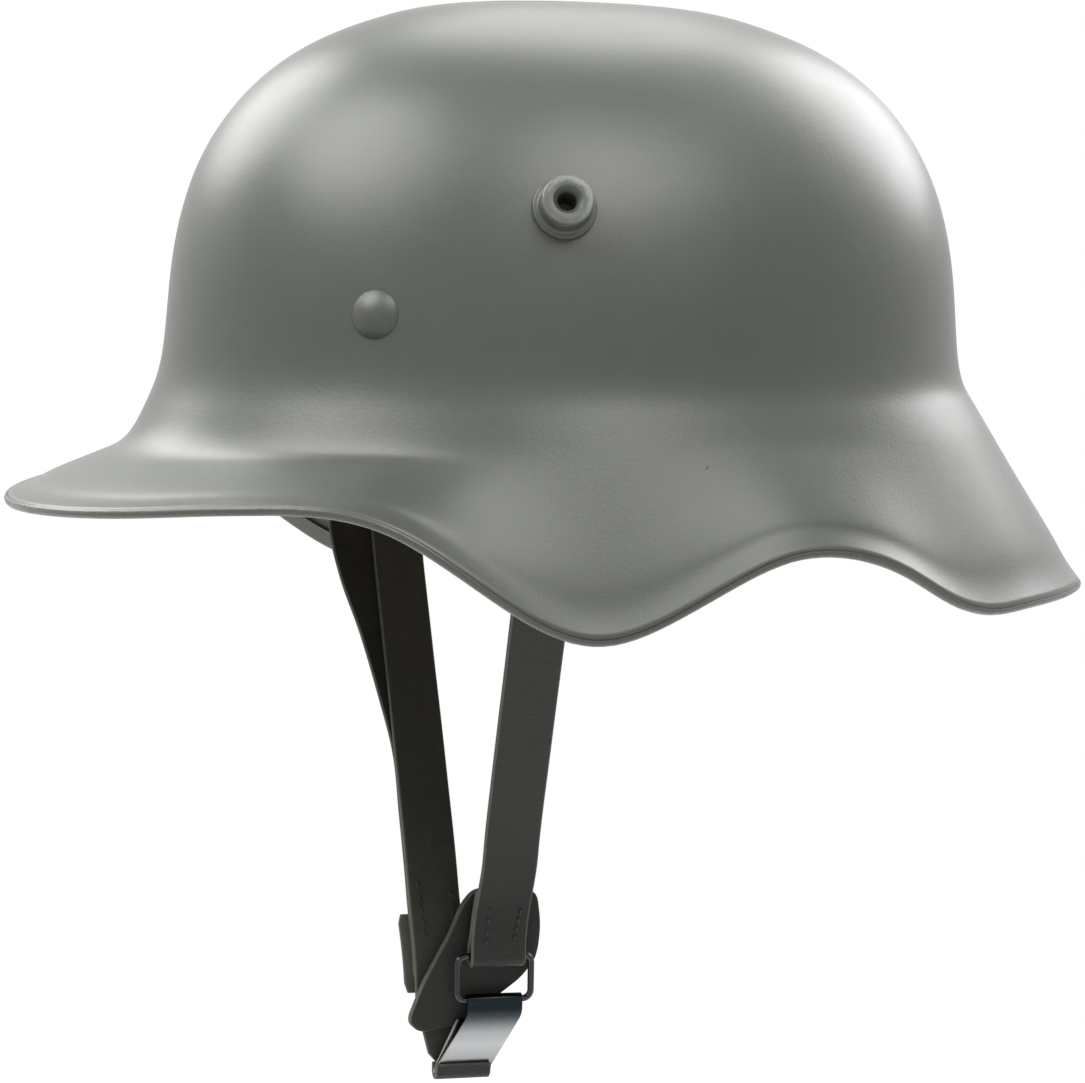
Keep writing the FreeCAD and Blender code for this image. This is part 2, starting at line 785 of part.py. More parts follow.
def hang(top, foot):
    """Evenly spaced points on the centre line of a hanging strap."""
    points = []
    for sx, sz in zip(hang_x_shares, hang_z_shares):
        points.append(V(between(top.x, foot.x, sx), between(top.y, foot.y, sz),
                        between(top.z, foot.z, sz)))
    curve = Part.BSplineCurve()
    curve.interpolate(points)
    return curve.discretize(Number=strap_steps + 1)


def layer_beside(run, gap_at_start, side):
    """Points of a second strap layer beside a run, closing from the fold's gap to a close fit."""
    lengths = [0.0]
    for a, b in zip(run, run[1:]):
        lengths.append(lengths[-1] + (b - a).Length)
    close = strap + strap_layer_gap
    points = []
    for (point, normal), length in zip(with_normals(run), lengths):
        share = min(1.0, length / close_length)
        gap = between(gap_at_start, close, share * share * (3 - 2 * share))
        points.append((point + normal * (gap * side), length))
    return points


def strap_left():
    """Near strap: folded round the bail at the top and round the frame's bar at the foot."""
    bar = V(bail_bar_x, strap_left_top_y, bail_bar_z)
    foot = V(frame_x, strap_left_foot_y, frame_bar_z)
    loop = around(bar, bail_fold, 180 - bail_tilt, -bail_tilt, fold_steps)
    under = around(foot, foot_fold, 0, -180, fold_steps)
    run = hang(loop[-1], under[0])
    inner = [p for p, s in layer_beside(run, 2 * bail_fold, -1) if s < left_turnback]
    upward = layer_beside(run[::-1], 2 * foot_fold, 1)
    tail = [p for p, s in upward if s < foot_turnback]
    return strip(inner[:0:-1] + loop + run[1:-1] + under + tail[1:], strap_width, strap)


def strap_right():
    """Far strap, made on the left and mirrored: the long end returns down the outside as a tab."""
    bar = V(bail_bar_x, strap_right_y, bail_bar_z)
    loop = around(bar, bail_fold, -bail_tilt, 180 - bail_tilt, fold_steps)
    foot = V(strap_right_knee_x, strap_right_y, strap_right_knee_z)
    run = hang(loop[-1], foot)
    outer = [p for p, s in layer_beside(run, 2 * bail_fold, 1) if p.z > tab_foot_z]
    bowed = []
    for point in outer:
        share = (bail_bar_z - point.z) / (bail_bar_z - tab_foot_z)
        bowed.append(point - REAR * (tab_bow * curve_share(tab_bow_shares, share)))
    end = V(strap_right_foot_x, strap_right_foot_y, strap_right_foot_z)
    lower = [foot + (end - foot) * share for share in (0.5, 1.0)]
    body = strip(bowed[:0:-1] + loop + run[1:] + lower, strap_width, strap)
    corner = bowed[-1]
    cut = []
    for side in (-1, 1):
        edge = V(corner.x, corner.y + side * strap_width / 2, corner.z)
        near = edge.x - (strap + strap_layer_gap) / 2
        front = edge.y - (tab_corner if side > 0 else 0)
        block = Part.makeBox(3 * strap, tab_corner, tab_corner, V(near, front, edge.z))
        disc = Part.makeCylinder(tab_corner, 3 * strap, V(
            near, edge.y - side * tab_corner, edge.z + tab_corner), LEFT)
        cut.append(block.cut(disc))
    return mirrored(body.cut(cut))


def curve_share(shares, at):
    """Value at a share of the way along evenly spaced hand-set shares."""
    place = max(0.0, min(1.0, at)) * (len(shares) - 1)
    i = min(int(place), len(shares) - 2)
    return between(shares[i], shares[i + 1], place - i)


def flap_sheet_at(x):
    """One leather of the backing flap, cut to its outline, its far face at a given x."""
    points = []
    for across, down in flap_outline_shares:
        points.append(V(x, flap_front_y + flap_width * across, flap_top_z - flap_length * down))
    face = Part.Face(Part.makePolygon(points + [points[0]]))
    return face.extrude(LEFT * flap_sheet)


def release_frame():
    """Wire frame in the strap's lower fold."""
    loop = wire_loop(frame_width - 2 * frame_wire, frame_height - 2 * frame_wire, frame_corner,
                     frame_wire)
    loop.translate(V(frame_x, frame_y, frame_bar_z))
    return loop


def release_hook():
    """Sheet hook: an eye on the frame's lower bar, a slanting leaf, and a back leaf closed at the foot."""
    bar = V(frame_x, frame_y, frame_bar_z - frame_height + 2 * frame_wire)
    radius = frame_wire + play
    eye = Part.makeCylinder(radius + hook_sheet, hook_width, bar - REAR * (hook_width / 2), REAR)
    bore = Part.makeCylinder(radius, hook_width + overrun,
                             bar - REAR * ((hook_width + overrun) / 2), REAR)
    edge = bar + LEFT * (radius + hook_sheet / 2)
    foot = V(hook_foot_x, hook_foot_y, hook_foot_z + hook_bend + hook_sheet / 2)
    turn = around(foot, hook_bend, 0, -180, fold_steps)
    back = V(hook_back_x, between(edge.y, foot.y, hook_back_share),
             between(bar.z, foot.z, hook_back_share))
    path = [edge, edge - UP * hook_straight] + turn + [back]
    plate = strip(path, hook_width, hook_sheet)
    return eye.fuse(plate).removeSplitter().cut(bore)


def hook_foot_loop():
    """Leather end that is folded round the foot of the hook."""
    foot = V(hook_foot_x, hook_foot_y, hook_foot_z + hook_bend + hook_sheet / 2)
    radius = hook_bend + hook_sheet / 2 + seat_gap + shoe / 2
    turn = around(foot, radius, 0, -180, fold_steps)
    near = turn[0] + UP * shoe_rise + LEFT * (shoe_rise * shoe_flare_share)
    return strip([near] + turn + [turn[-1] + UP * shoe_rise], hook_width, shoe)


def shell_with_holes(form):
    cuts = []
    point, normal = form.place(lug_angle, lug_height)
    lug_hole = hole(point, normal, lug_shank_radius + play, lug_length, lug_length)
    cuts += [lug_hole, mirrored(lug_hole)]
    for angle in liner_rivet_angles:
        point, normal = form.place(angle, rivet_height)
        cuts.append(hole(point, normal, rivet_shank_radius + play, lug_length, lug_length))
    return form.solid().cut(cuts)


def export(name, shape):
    shape.exportStep("parts/" + name + ".step")


def export_pair(name, shape):
    """Left piece and its mirror image on the right."""
    export(name + "_left", shape)
    export(name + "_right", mirrored(shape))


def main():
    os.makedirs("parts", exist_ok=True)
    form = ShellForm()
    export("shell", shell_with_holes(form))
    export_pair("vent_lug", vent_lug(form))
    export_pair("liner_rivet", liner_rivet(form, rivet_angle))
    export("liner_rivet_rear", liner_rivet(form, rear_angle))
    export_pair("spacer", spacer(form, rivet_angle))
    export("spacer_rear", spacer(form, rear_angle))
    export("liner_band", liner_band(form))
    for name, piece in [("pad", pad_leather), ("pad_rivets", pad_rivets), ("cushion", cushion)]:
        export_pair(name + "_front", piece(0))
        export(name + "_rear", piece(1))
    export_pair("swivel_rivet", swivel_rivet())
    export_pair("bail_plate", bail_plate())
    export_pair("bail", bail())
    export("strap_left", strap_left())
    export("strap_right", strap_right())
    export("flap_front", flap_sheet_at(flap_x))
    export("flap_back", flap_sheet_at(flap_x - flap_sheet - strap_layer_gap))
    export("release_frame", release_frame())
    export("release_hook", release_hook())
    export("hook_foot_loop", hook_foot_loop())


main()
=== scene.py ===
"""Looks of a steel combat helmet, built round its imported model.

Metres. Front is -Y, the wearer's left is +X and up is +Z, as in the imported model.
"""
import math

import bmesh
import bpy
import numpy as np
from bpy.props import FloatProperty, FloatVectorProperty, PointerProperty
from mathutils import Matrix, Vector, noise


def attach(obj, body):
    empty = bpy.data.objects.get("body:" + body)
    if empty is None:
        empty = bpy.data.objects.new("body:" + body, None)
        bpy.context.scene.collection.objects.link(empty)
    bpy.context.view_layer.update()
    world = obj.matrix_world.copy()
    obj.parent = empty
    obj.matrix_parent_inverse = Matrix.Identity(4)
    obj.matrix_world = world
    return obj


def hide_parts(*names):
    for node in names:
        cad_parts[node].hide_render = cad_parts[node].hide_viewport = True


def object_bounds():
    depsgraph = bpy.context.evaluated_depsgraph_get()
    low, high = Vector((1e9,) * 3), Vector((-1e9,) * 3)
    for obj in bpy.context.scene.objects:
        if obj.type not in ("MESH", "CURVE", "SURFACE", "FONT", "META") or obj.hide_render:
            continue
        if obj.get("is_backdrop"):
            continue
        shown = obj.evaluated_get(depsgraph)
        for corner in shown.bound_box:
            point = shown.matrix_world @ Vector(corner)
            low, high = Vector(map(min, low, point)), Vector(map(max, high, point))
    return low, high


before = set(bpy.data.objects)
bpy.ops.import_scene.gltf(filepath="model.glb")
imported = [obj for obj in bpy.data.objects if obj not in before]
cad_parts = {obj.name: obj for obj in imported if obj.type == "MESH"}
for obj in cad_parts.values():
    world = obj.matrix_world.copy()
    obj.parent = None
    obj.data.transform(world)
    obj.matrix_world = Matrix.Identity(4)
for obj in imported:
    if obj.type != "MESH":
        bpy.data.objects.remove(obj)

bl_info = {
    "name": "Steel Helmet Looks",
    "version": (1, 0, 0),
    "blender": (4, 5, 0),
    "location": "View3D > Sidebar > Helmet",
    "description": "Builds the visible pieces and finishes of a steel combat helmet",
    "category": "Object",
}

MM = 0.001
UP = np.array([0.0, 0.0, 1.0])
SIDES = (("left", 1), ("right", -1))
QUARTERS = (0.25, 0.5, 0.75, 1.0)

# Shell, in millimetres
HALF_WIDTH, FRONT_REACH, REAR_REACH = 94.5, 102.5, 122.5
CROWN_HEIGHT, CROWN_BACK, SHEET = 101.5, 8.0, 1.2
FULLNESS = [(0, 2.75), (90, 2.21), (180, 2.81)]
WALL_DROP = [(0, 22.0), (90, 16.5), (180, 13.0)]
WALL_LEAN = [(0, 10.0), (90, 7.2), (180, 8.4)]
BEND_SHARE = [(0, 0.29), (60, 0.12), (180, 0.12)]
VISOR_DROP, BROW_DROP, LOBE_DROP = 37.0, 31.0, 66.5
CUTOUT_DROP, CORNER_DROP, NAPE_DROP = 40.8, 61.7, 60.0
VISOR_REACH, BROW_REACH, SIDE_REACH, CUTOUT_REACH, NAPE_REACH = 44.0, 33.5, 27.0, 25.5, 43.0
LIP_LENGTH, LIP_TURN, HEM_RADIUS = 8.0, 0.8, 1.5
NET_COLUMNS = 48
DOME_TURNS = [0.0, 0.12, 0.24, 0.38, 0.52, 0.66, 0.78, 0.9, 1.0]
SKIRT_SHARES = [0.45, 0.75]
FOLD_BACK = 0.25            # of the last span of the net
COLUMNS = 288               # of the fine mesh
FIRST_ROW = 0.15            # place down the net of the fine mesh's first row
SKIN_ROWS = [(9.0, 65), (12.0, 27)]     # (place, rows to it from the place before)
LIP_ROWS, HEM_ROWS = 7, 3
BEAD_RADIUS, BEAD_STEPS, BEAD_WANDER, BEAD_STAND, GROOVE = 1.3, 12, 0.08, 0.25, 0.35

# Fittings
LUG_ANGLE, LUG_HEIGHT, LUG_LENGTH, LUG_HOLE = 79.7, 44.1, 7.0, 4.3
# Half section of a lug, from its spread foot round its flange to the sink of its bore: (radius, height)
LUG_OUTLINE = [
    (2.5, -2.6), (6.6, -2.6), (6.6, -1.8), (4.2, -1.8), (4.2, -0.3), (8.4, -0.55), (8.4, 0.9),
    (8.1, 1.25), (7.3, 1.4), (6.85, 1.9), (6.7, LUG_LENGTH - 0.35), (6.4, LUG_LENGTH),
    (3.85, LUG_LENGTH), (2.5, LUG_LENGTH - 1.6)]
LUG_ROUNDING, LUG_RUBBED = 0.14, (6.2, LUG_LENGTH - 0.6)
TURNED = 72                 # sides of a turned fitting
RIVET_ANGLES, RIVET_HEIGHT = {"left": 51.6, "right": -51.6, "rear": 180.0}, 16.2
RIVET_RADIUS, RIVET_RISE, RIVET_DOME, RIVET_SHANK, RIVET_STEPS = 6.25, 2.6, 2.45, 2.1, 12
RIVET_SKIRT = [(6.4, -0.05), (6.25, -0.5)]
PRONG_WIDTH, PRONG, PRONG_SUNK = 3.6, 0.9, 0.4
PRONG_ROWS = [(-6.0, 0.6), (-5.6, 0.9), (-4.5, 1.0), (0.0, 1.0), (4.5, 1.0), (5.6, 0.9), (6.0, 0.6)]
BAND_INSET, BAND_STAND = 8.0, 1.25
BAND_BOTTOM, BAND_TOP, LEATHER_INSET, LEATHER = 3.0, 25.0, 10.45, 1.8
HEAD_RISE = CROWN_HEIGHT - SHEET - 24.0 - BAND_TOP

# Chinstrap and its fittings
BAIL_Y, EYE_X, EYE_Z, BAIL_TILT = -20.5, 86.539, -4.0, 28.0
BAIL_WIDTH, BAIL_DROP, BAIL_WIRE, BAIL_CORNER = 24.2, 11.2, 1.1, 3.2
STRAP_WIDTH, STRAP, STRAP_PLAY, LAYER_GAP = 15.8, 1.8, 0.35, 0.2
LEFT_TOP_Y, LEFT_FOOT_Y, LEFT_FOOT_Z = -18.6, -8.6, -168.5
RIGHT_Y, RIGHT_KNEE, RIGHT_FOOT = -22.3, (2.4, -180.0), (1.1, -17.5, -199.0)
HANG_X = [0.0, 0.12, 0.3, 0.52, 0.74, 0.9, 0.98, 1.0]
HANG_Z = [0.0, 0.1, 0.25, 0.44, 0.63, 0.78, 0.89, 1.0]
LEFT_TURNBACK, FOOT_TURNBACK, CLOSE_LENGTH, TAB_FOOT_Z = 34.0, 20.0, 8.0, -177.5
TAB_BOW = 11.9
TAB_BOW_SHARES = [0.0, 0.5, 1.0, 0.87, 0.5, 0.22, 0.0, 0.0, 0.0, 0.0, 0.0]     # evenly spaced down the tab
TAB_END_TOP_Z, TAB_END_FOOT_Z, TAB_END_SHIFT, TAB_END = -153.2, -178.0, (2.2, 1.6), 1.6
# Bow of each run along Y: (place, shift), with places from 0 at the top to 180 at the foot
NEAR_BOW = [(0, 0.0), (55, 3.5), (145, 3.3), (180, 0.0)]
FAR_BOW = [(0, 0.0), (55, -1.4), (145, -1.4), (180, 0.0)]
FAR_WEAR = 1.0              # how much narrower the far strap is
WIDTH_WANDER, FACE_WANDER = 0.01, 0.48
FRAME_X, FRAME_Y, FRAME_WIRE = 6.0, -9.2, 0.95
FRAME_WIDTH, FRAME_HEIGHT, FRAME_CORNER = 21.5, 12.5, 2.4
FRAME_BAR_Z = LEFT_FOOT_Z + FRAME_WIRE + STRAP_PLAY + STRAP
HOOK_SHEET, HOOK_WIDTH, HOOK_STRAIGHT, HOOK_NIP = 0.7, 16.0, 4.0, 0.6
HOOK_FOOT, HOOK_BACK_X, HOOK_BACK_SHARE = (2.8, -17.5, -199.0), 3.9, 0.28
HOOK_BEND = (HOOK_SHEET + HOOK_NIP) / 2
HOOK_EYE_GAP, HOOK_EYE_EDGE, HOOK_CORNER = 0.1, 0.2, 2.2
# How far the hook turns to bright steel, as rubbed steel at its foot and as a painted reflection over its
# lower plane, by rise above the turn at its foot and above the top of its plane: (rise, share)
FOOT_WEAR_AND_REFLECTION = [(-1.0, 0.25), (3.0, 0.7), (5.0, 1.0)]
TOP_WEAR_AND_REFLECTION = [(-5.0, 1.0), (-2.5, 0.55), (-0.5, 0.22), (1.0, 0.07), (3.0, 0.0)]
SHOE, SHOE_RISE, SHOE_GAP, SHOE_FLARE = 1.4, 1.8, 0.3, 0.3
FLAP_X, FLAP_SHEET, FLAP_FRONT_Y, FLAP_TOP_Z, FLAP_WIDTH, FLAP_LENGTH = 1.15, 1.5, -32.4, -147.0, 37.7, 40.3
# Rows of stitches, each from one (y, z) place to another
NEAR_STITCHES = [((-11.8, -150.3), (-12.7, -162.2)), ((-2.7, -150.9), (-4.7, -161.0))]
FAR_STITCHES = [((-28.5, -145.5), (-27.1, -161.9)), ((-19.4, -145.8), (-18.3, -159.3))]
STITCH_STAND, STITCH_SHARE = 0.12, 0.35
STITCH_END = [(0.0, 0.0), (0.52, 0.08), (0.9, 0.4)]     # (share of its radius, distance from its end)
FLAP_CORNER, FLAP_CURL, FLAP_BACK_CURL, CURL_REACH, FLAP_RIPPLE = 3.4, -0.15, -0.2, 20.0, 0.12
# Rings of a flap from its middle to its cut edge, as shares of its outline and of half its sheet
FLAP_RINGS = [(0.2, 1.0), (0.4, 1.0), (0.6, 1.0), (0.8, 1.0), (0.92, 1.0), (0.985, 1.0),
              (0.996, 0.75), (1.0, 0.0)]
# Outline as shares of the width from the front and of the length from the top
FLAP_OUTLINE = [
    (0.485, 0.0), (0.38, 0.12), (0.31, 0.29), (0.1, 0.65), (0.0, 0.89), (0.0, 0.94),
    (0.055, 0.99), (0.13, 1.0), (0.185, 0.98), (0.38, 0.95), (0.67, 0.76), (0.86, 0.63),
    (0.96, 0.51), (0.985, 0.42), (1.0, 0.26), (0.97, 0.02)]


# Shell surface

def between(a, b, share):
    """Value at a share of the way from a to b."""
    return a + (b - a) * share


RIM_DROP = [
    (0, VISOR_DROP), (25, between(VISOR_DROP, BROW_DROP, 0.3)),
    (40, between(VISOR_DROP, BROW_DROP, 0.8)), (52, BROW_DROP),
    (62, between(BROW_DROP, LOBE_DROP, 0.155)), (72, between(BROW_DROP, LOBE_DROP, 0.675)),
    (84, LOBE_DROP), (96, between(LOBE_DROP, CUTOUT_DROP, 0.535)), (108, CUTOUT_DROP),
    (120, between(CUTOUT_DROP, CORNER_DROP, 0.325)), (132, CORNER_DROP),
    (145, between(CORNER_DROP, NAPE_DROP, 0.8)), (180, NAPE_DROP)]
RIM_REACH = [
    (0, VISOR_REACH), (20, VISOR_REACH), (40, between(VISOR_REACH, BROW_REACH, 0.45)),
    (60, BROW_REACH), (80, between(BROW_REACH, SIDE_REACH, 0.85)), (100, CUTOUT_REACH),
    (120, between(CUTOUT_REACH, NAPE_REACH, 0.19)), (140, between(CUTOUT_REACH, NAPE_REACH, 0.27)),
    (160, between(CUTOUT_REACH, NAPE_REACH, 0.52)), (180, NAPE_REACH)]


def smooth_table(table, angle):
    """Smooth value at an angle, from a table of (angle, value) from 0 to 180 that is mirrored about both.

    The curve is level at both ends, so the bows of the straps use it too, with places for angles.
    """
    angles = [row[0] for row in table]
    values = [row[1] for row in table]
    steps = [b - a for a, b in zip(angles, angles[1:])]
    secants = [(b - a) / step for a, b, step in zip(values, values[1:], steps)]
    slopes = [0.0]
    for i in range(1, len(table) - 1):
        before, after = secants[i - 1], secants[i]
        if before * after <= 0:
            slopes.append(0.0)
            continue
        w1 = 2 * steps[i] + steps[i - 1]
        w2 = steps[i] + 2 * steps[i - 1]
        slopes.append((w1 + w2) / (w1 / before + w2 / after))
    slopes.append(0.0)
    angle = abs((angle + 180.0) % 360.0 - 180.0)
    for i, step in enumerate(steps):
        if angle <= angles[i + 1]:
            t = (angle - angles[i]) / step
            start = (1 + 2 * t) * (1 - t) ** 2 * values[i] + t * (1 - t) ** 2 * step * slopes[i]
            end = t * t * (3 - 2 * t) * values[i + 1] - t * t * (1 - t) * step * slopes[i + 1]
            return start + end
    return values[-1]


def unit(vector):
    """Vector of length 1 with the same direction."""
    return vector / np.linalg.norm(vector)


def plan(angle):
    """Point of the waist oval at an angle from the front, and its outward direction."""
    a = math.radians(angle)
    reach = FRONT_REACH if math.cos(a) > 0 else REAR_REACH
    point = np.array([HALF_WIDTH * math.sin(a), -reach * math.cos(a), 0.0])
    return point, unit(np.array([point[0] / HALF_WIDTH ** 2, point[1] / reach ** 2, 0.0]))


def net_column(angle):
    """Control points of the outer surface from the crown down to the hem, at one angle."""
    waist, out = plan(angle)
    crown = np.array([0.0, CROWN_BACK, 0.0])
    power = 2.0 / smooth_table(FULLNESS, angle)
    points = []
    for turn in DOME_TURNS:
        a = turn * math.pi / 2
        spread = math.sin(a) ** power if turn > 0 else 0.0
        rise = math.cos(a) ** power if turn < 1 else 0.0
        if turn <= DOME_TURNS[1]:
            rise = 1.0
        points.append(crown * (1 - spread) + waist * spread + UP * (CROWN_HEIGHT * rise))
    fall = smooth_table(WALL_DROP, angle)
    lean = smooth_table(WALL_LEAN, angle)
    knee = waist + out * lean - UP * fall
    points += [(waist + knee) / 2, knee]
    tip = waist + out * smooth_table(RIM_REACH, angle) - UP * smooth_table(RIM_DROP, angle)
    for share in [smooth_table(BEND_SHARE, angle)] + SKIRT_SHARES:
        points.append(knee + (tip - knee) * share)
    along = unit(tip - knee)
    skirt_normal = out * (-along[2]) + UP * along.dot(out)
    lip = tip - along * LIP_LENGTH - skirt_normal * LIP_TURN
    return points + [lip, tip - unit(tip - lip) * HEM_RADIUS]


NET = np.array([net_column(360.0 * j / NET_COLUMNS) for j in range(NET_COLUMNS)]).transpose(1, 0, 2)
LAST = NET.shape[0] - 3.0


def down_weights(places):
    """Weight of each row of the net at places down the surface."""
    knots = np.clip(np.arange(NET.shape[0] + 4) - 3.0, 0.0, LAST)
    places = np.clip(places, 0.0, LAST - 1e-9)[:, None]
    weights = ((knots[:-1] <= places) & (places < knots[1:])).astype(float)
    for degree in (1, 2, 3):
        count = len(knots) - 1 - degree
        rise = knots[degree:degree + count] - knots[:count]
        fall = knots[degree + 1:degree + 1 + count] - knots[1:1 + count]
        before = np.divide(places - knots[:count], rise, where=rise > 0, out=np.zeros((len(places), count)))
        after = np.divide(knots[degree + 1:degree + 1 + count] - places, fall, where=fall > 0,
                          out=np.zeros((len(places), count)))
        weights = before * weights[:, :count] + after * weights[:, 1:count + 1]
    return weights


def round_weights(places):
    """Weight of each column of the net at places round the surface."""
    weights = np.zeros((len(places), NET_COLUMNS))
    start = np.floor(places).astype(int)
    t = places - start
    shares = ((1 - t) ** 3, 3 * t ** 3 - 6 * t ** 2 + 4, -3 * t ** 3 + 3 * t ** 2 + 3 * t + 1, t ** 3)
    for k, share in enumerate(shares):
        np.add.at(weights, (np.arange(len(places)), (start + k) % NET_COLUMNS), share / 6)
    return weights


def surface(turns, falls):
    """Points of the shell's outside, its normals and its downward slopes, in millimetres."""
    step = 1e-4
    middle = np.clip(falls, step, LAST - step)

    def at(us, vs):
        return np.einsum("vr,rcx,uc->vux", down_weights(vs), NET, round_weights(us))

    points = at(turns, falls)
    slope = at(turns, middle + step) - at(turns, middle - step)
    side = at(turns + step, middle) - at(turns - step, middle)
    slope /= np.linalg.norm(slope, axis=2, keepdims=True)
    normal = np.cross(slope, side)
    normal /= np.maximum(np.linalg.norm(normal, axis=2, keepdims=True), 1e-12)
    normal[falls < 1e-6] = UP
    return points, normal, slope


def net_place(angle):
    """Place round the net of an angle from the front."""
    return (angle / 360.0 * NET_COLUMNS - 1) % NET_COLUMNS


def place(angle, height):
    """Point of the shell's outside at an angle from the front and a height, and its normal."""
    u = np.array([net_place(angle)])
    low, high = 0.0, LAST - 3
    for _ in range(50):
        middle = (low + high) / 2
        if surface(u, np.array([middle]))[0][0, 0, 2] > height:
            low = middle
        else:
            high = middle
    points, normals, _ = surface(u, np.array([low]))
    return points[0, 0], normals[0, 0]


# Meshes

def piece(name, points, faces, body, stands_for, materials, sharp=35.0, face_materials=None):
    """Mesh object from points in millimetres, smooth but for its sharp edges, riding on a body."""
    mesh = bpy.data.meshes.new(name)
    mesh.from_pydata([tuple(float(c) * MM for c in point) for point in points], [], faces)
    for material in materials:
        mesh.materials.append(material)
    if face_materials is not None:
        mesh.polygons.foreach_set("material_index", face_materials)
    obj = bpy.data.objects.new(name, mesh)
    bpy.context.scene.collection.objects.link(obj)
    closed = bmesh.new()
    closed.from_mesh(mesh)
    bmesh.ops.recalc_face_normals(closed, faces=closed.faces)
    closed.to_mesh(mesh)
    closed.free()
    mesh.shade_smooth()
    mesh.set_sharp_from_angle(angle=math.radians(sharp))
    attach(obj, body)
    if stands_for:
        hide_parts(*stands_for)
    return obj


def ring_faces(rings, count, closed=False):
    """Quads between rings of count points that follow each other."""
    faces = []
    for i in range(rings if closed else rings - 1):
        low, high = i * count, (i + 1) % rings * count
        for j in range(count):
            k = (j + 1) % count
            faces.append((low + j, low + k, high + k, high + j))
    return faces


def capped(rings, count):
    """Faces of a closed bar of rings, with a cap at each end."""
    start, end = tuple(range(count)), tuple(range((rings - 1) * count, rings * count))
    return ring_faces(rings, count) + [start[::-1], end]


def rounded(outline, radius, steps=3):
    """Outline of (radius, height) corners with its inner corners rounded."""
    made = [outline[0]]
    for before, here, after in zip(outline, outline[1:], outline[2:]):
        a, b, c = np.array(before), np.array(here), np.array(after)
        reach = min(radius, np.linalg.norm(a - b) * 0.45, np.linalg.norm(c - b) * 0.45)
        start, end = b + unit(a - b) * reach, b + unit(c - b) * reach
        for i in range(steps + 1):
            t = i / steps
            made.append(tuple(start * (1 - t) ** 2 + b * 2 * t * (1 - t) + end * t * t))
    return made + [outline[-1]]


def lathe(outline, point, axis, segments=64, closed=False):
    """Points and faces of a turned form; its outline is closed, or starts and ends on the axis."""
    axis = unit(np.array(axis, float))
    side = unit(np.cross(UP if abs(axis[2]) < 0.9 else np.array([1.0, 0, 0]), axis))
    ahead = np.cross(axis, side)
    points, faces, starts = [], [], []
    for r, h in outline:
        starts.append(len(points))
        if r < 1e-6:
            points.append(point + axis * h)
            continue
        for i in range(segments):
            a = 2 * math.pi * i / segments
            points.append(point + axis * h + (side * math.cos(a) + ahead * math.sin(a)) * r)
    if closed:
        outline, starts = outline + outline[:1], starts + starts[:1]
    for (r0, _), (r1, _), s0, s1 in zip(outline, outline[1:], starts, starts[1:]):
        for i in range(segments):
            k = (i + 1) % segments
            if r0 < 1e-6:
                faces.append((s0, s1 + i, s1 + k))
            elif r1 < 1e-6:
                faces.append((s0 + i, s0 + k, s1))
            else:
                faces.append((s0 + i, s0 + k, s1 + k, s1 + i))
    return points, faces


def join(parts):
    """Points and faces of several parts as one."""
    points, faces = [], []
    for more_points, more_faces in parts:
        start = len(points)
        points += list(more_points)
        faces += [tuple(i + start for i in face) for face in more_faces]
    return points, faces


def loop_path(width, height, corner, steps=6):
    """Round-cornered rectangle hung from the middle of its top side, facing X."""
    half = width / 2
    path = []
    centres = [(-corner, half - corner), (corner - height, half - corner),
               (corner - height, corner - half), (-corner, corner - half)]
    for (z, y), start in zip(centres, (90, 0, -90, -180)):
        for i in range(steps + 1):
            a = math.radians(start - 90.0 * i / steps)
            path.append(np.array([0.0, y + corner * math.cos(a), z + corner * math.sin(a)]))
    return path


def wire(path, radius, across, sides=16):
    """Points and faces of a closed wire on a flat path; across is square to its plane."""
    points = []
    for i, here in enumerate(path):
        ahead = unit(path[(i + 1) % len(path)] - path[i - 1])
        out = np.cross(ahead, across)
        for j in range(sides):
            a = 2 * math.pi * j / sides
            points.append(here + (out * math.cos(a) + across * math.sin(a)) * radius)
    return points, ring_faces(len(path), sides, closed=True)


def strap_section(width, thickness, edge=0.45, across=10, steps=3, crown=0.0):
    """Round-edged section of a strap as (across, out) pairs, and which pairs lie on its cut edges."""
    w, t = width / 2, thickness / 2
    edge = min(edge, t * 0.95)
    half = []
    for i in range(across + 1):
        y = between(-(w - edge), w - edge, i / across)
        half.append((y, t + crown * (1 - (y / w) ** 2), False))
    for turn, corner in ((math.pi / 2, t - edge), (0.0, edge - t)):
        for i in range(1, steps + (turn > 0)):
            a = turn - math.pi / 2 * i / steps
            half.append((w - edge + edge * math.cos(a), corner + edge * math.sin(a), True))
    return half + [(-y, -n, cut) for y, n, cut in half]


def path_normals(path):
    """Unit normals of a path in the XZ plane, outward for one that runs down the left side."""
    normals = []
    for i in range(len(path)):
        a, b = path[max(i - 1, 0)], path[min(i + 1, len(path) - 1)]
        normals.append(unit(np.array([a[2] - b[2], 0.0, b[0] - a[0]])))
    return normals


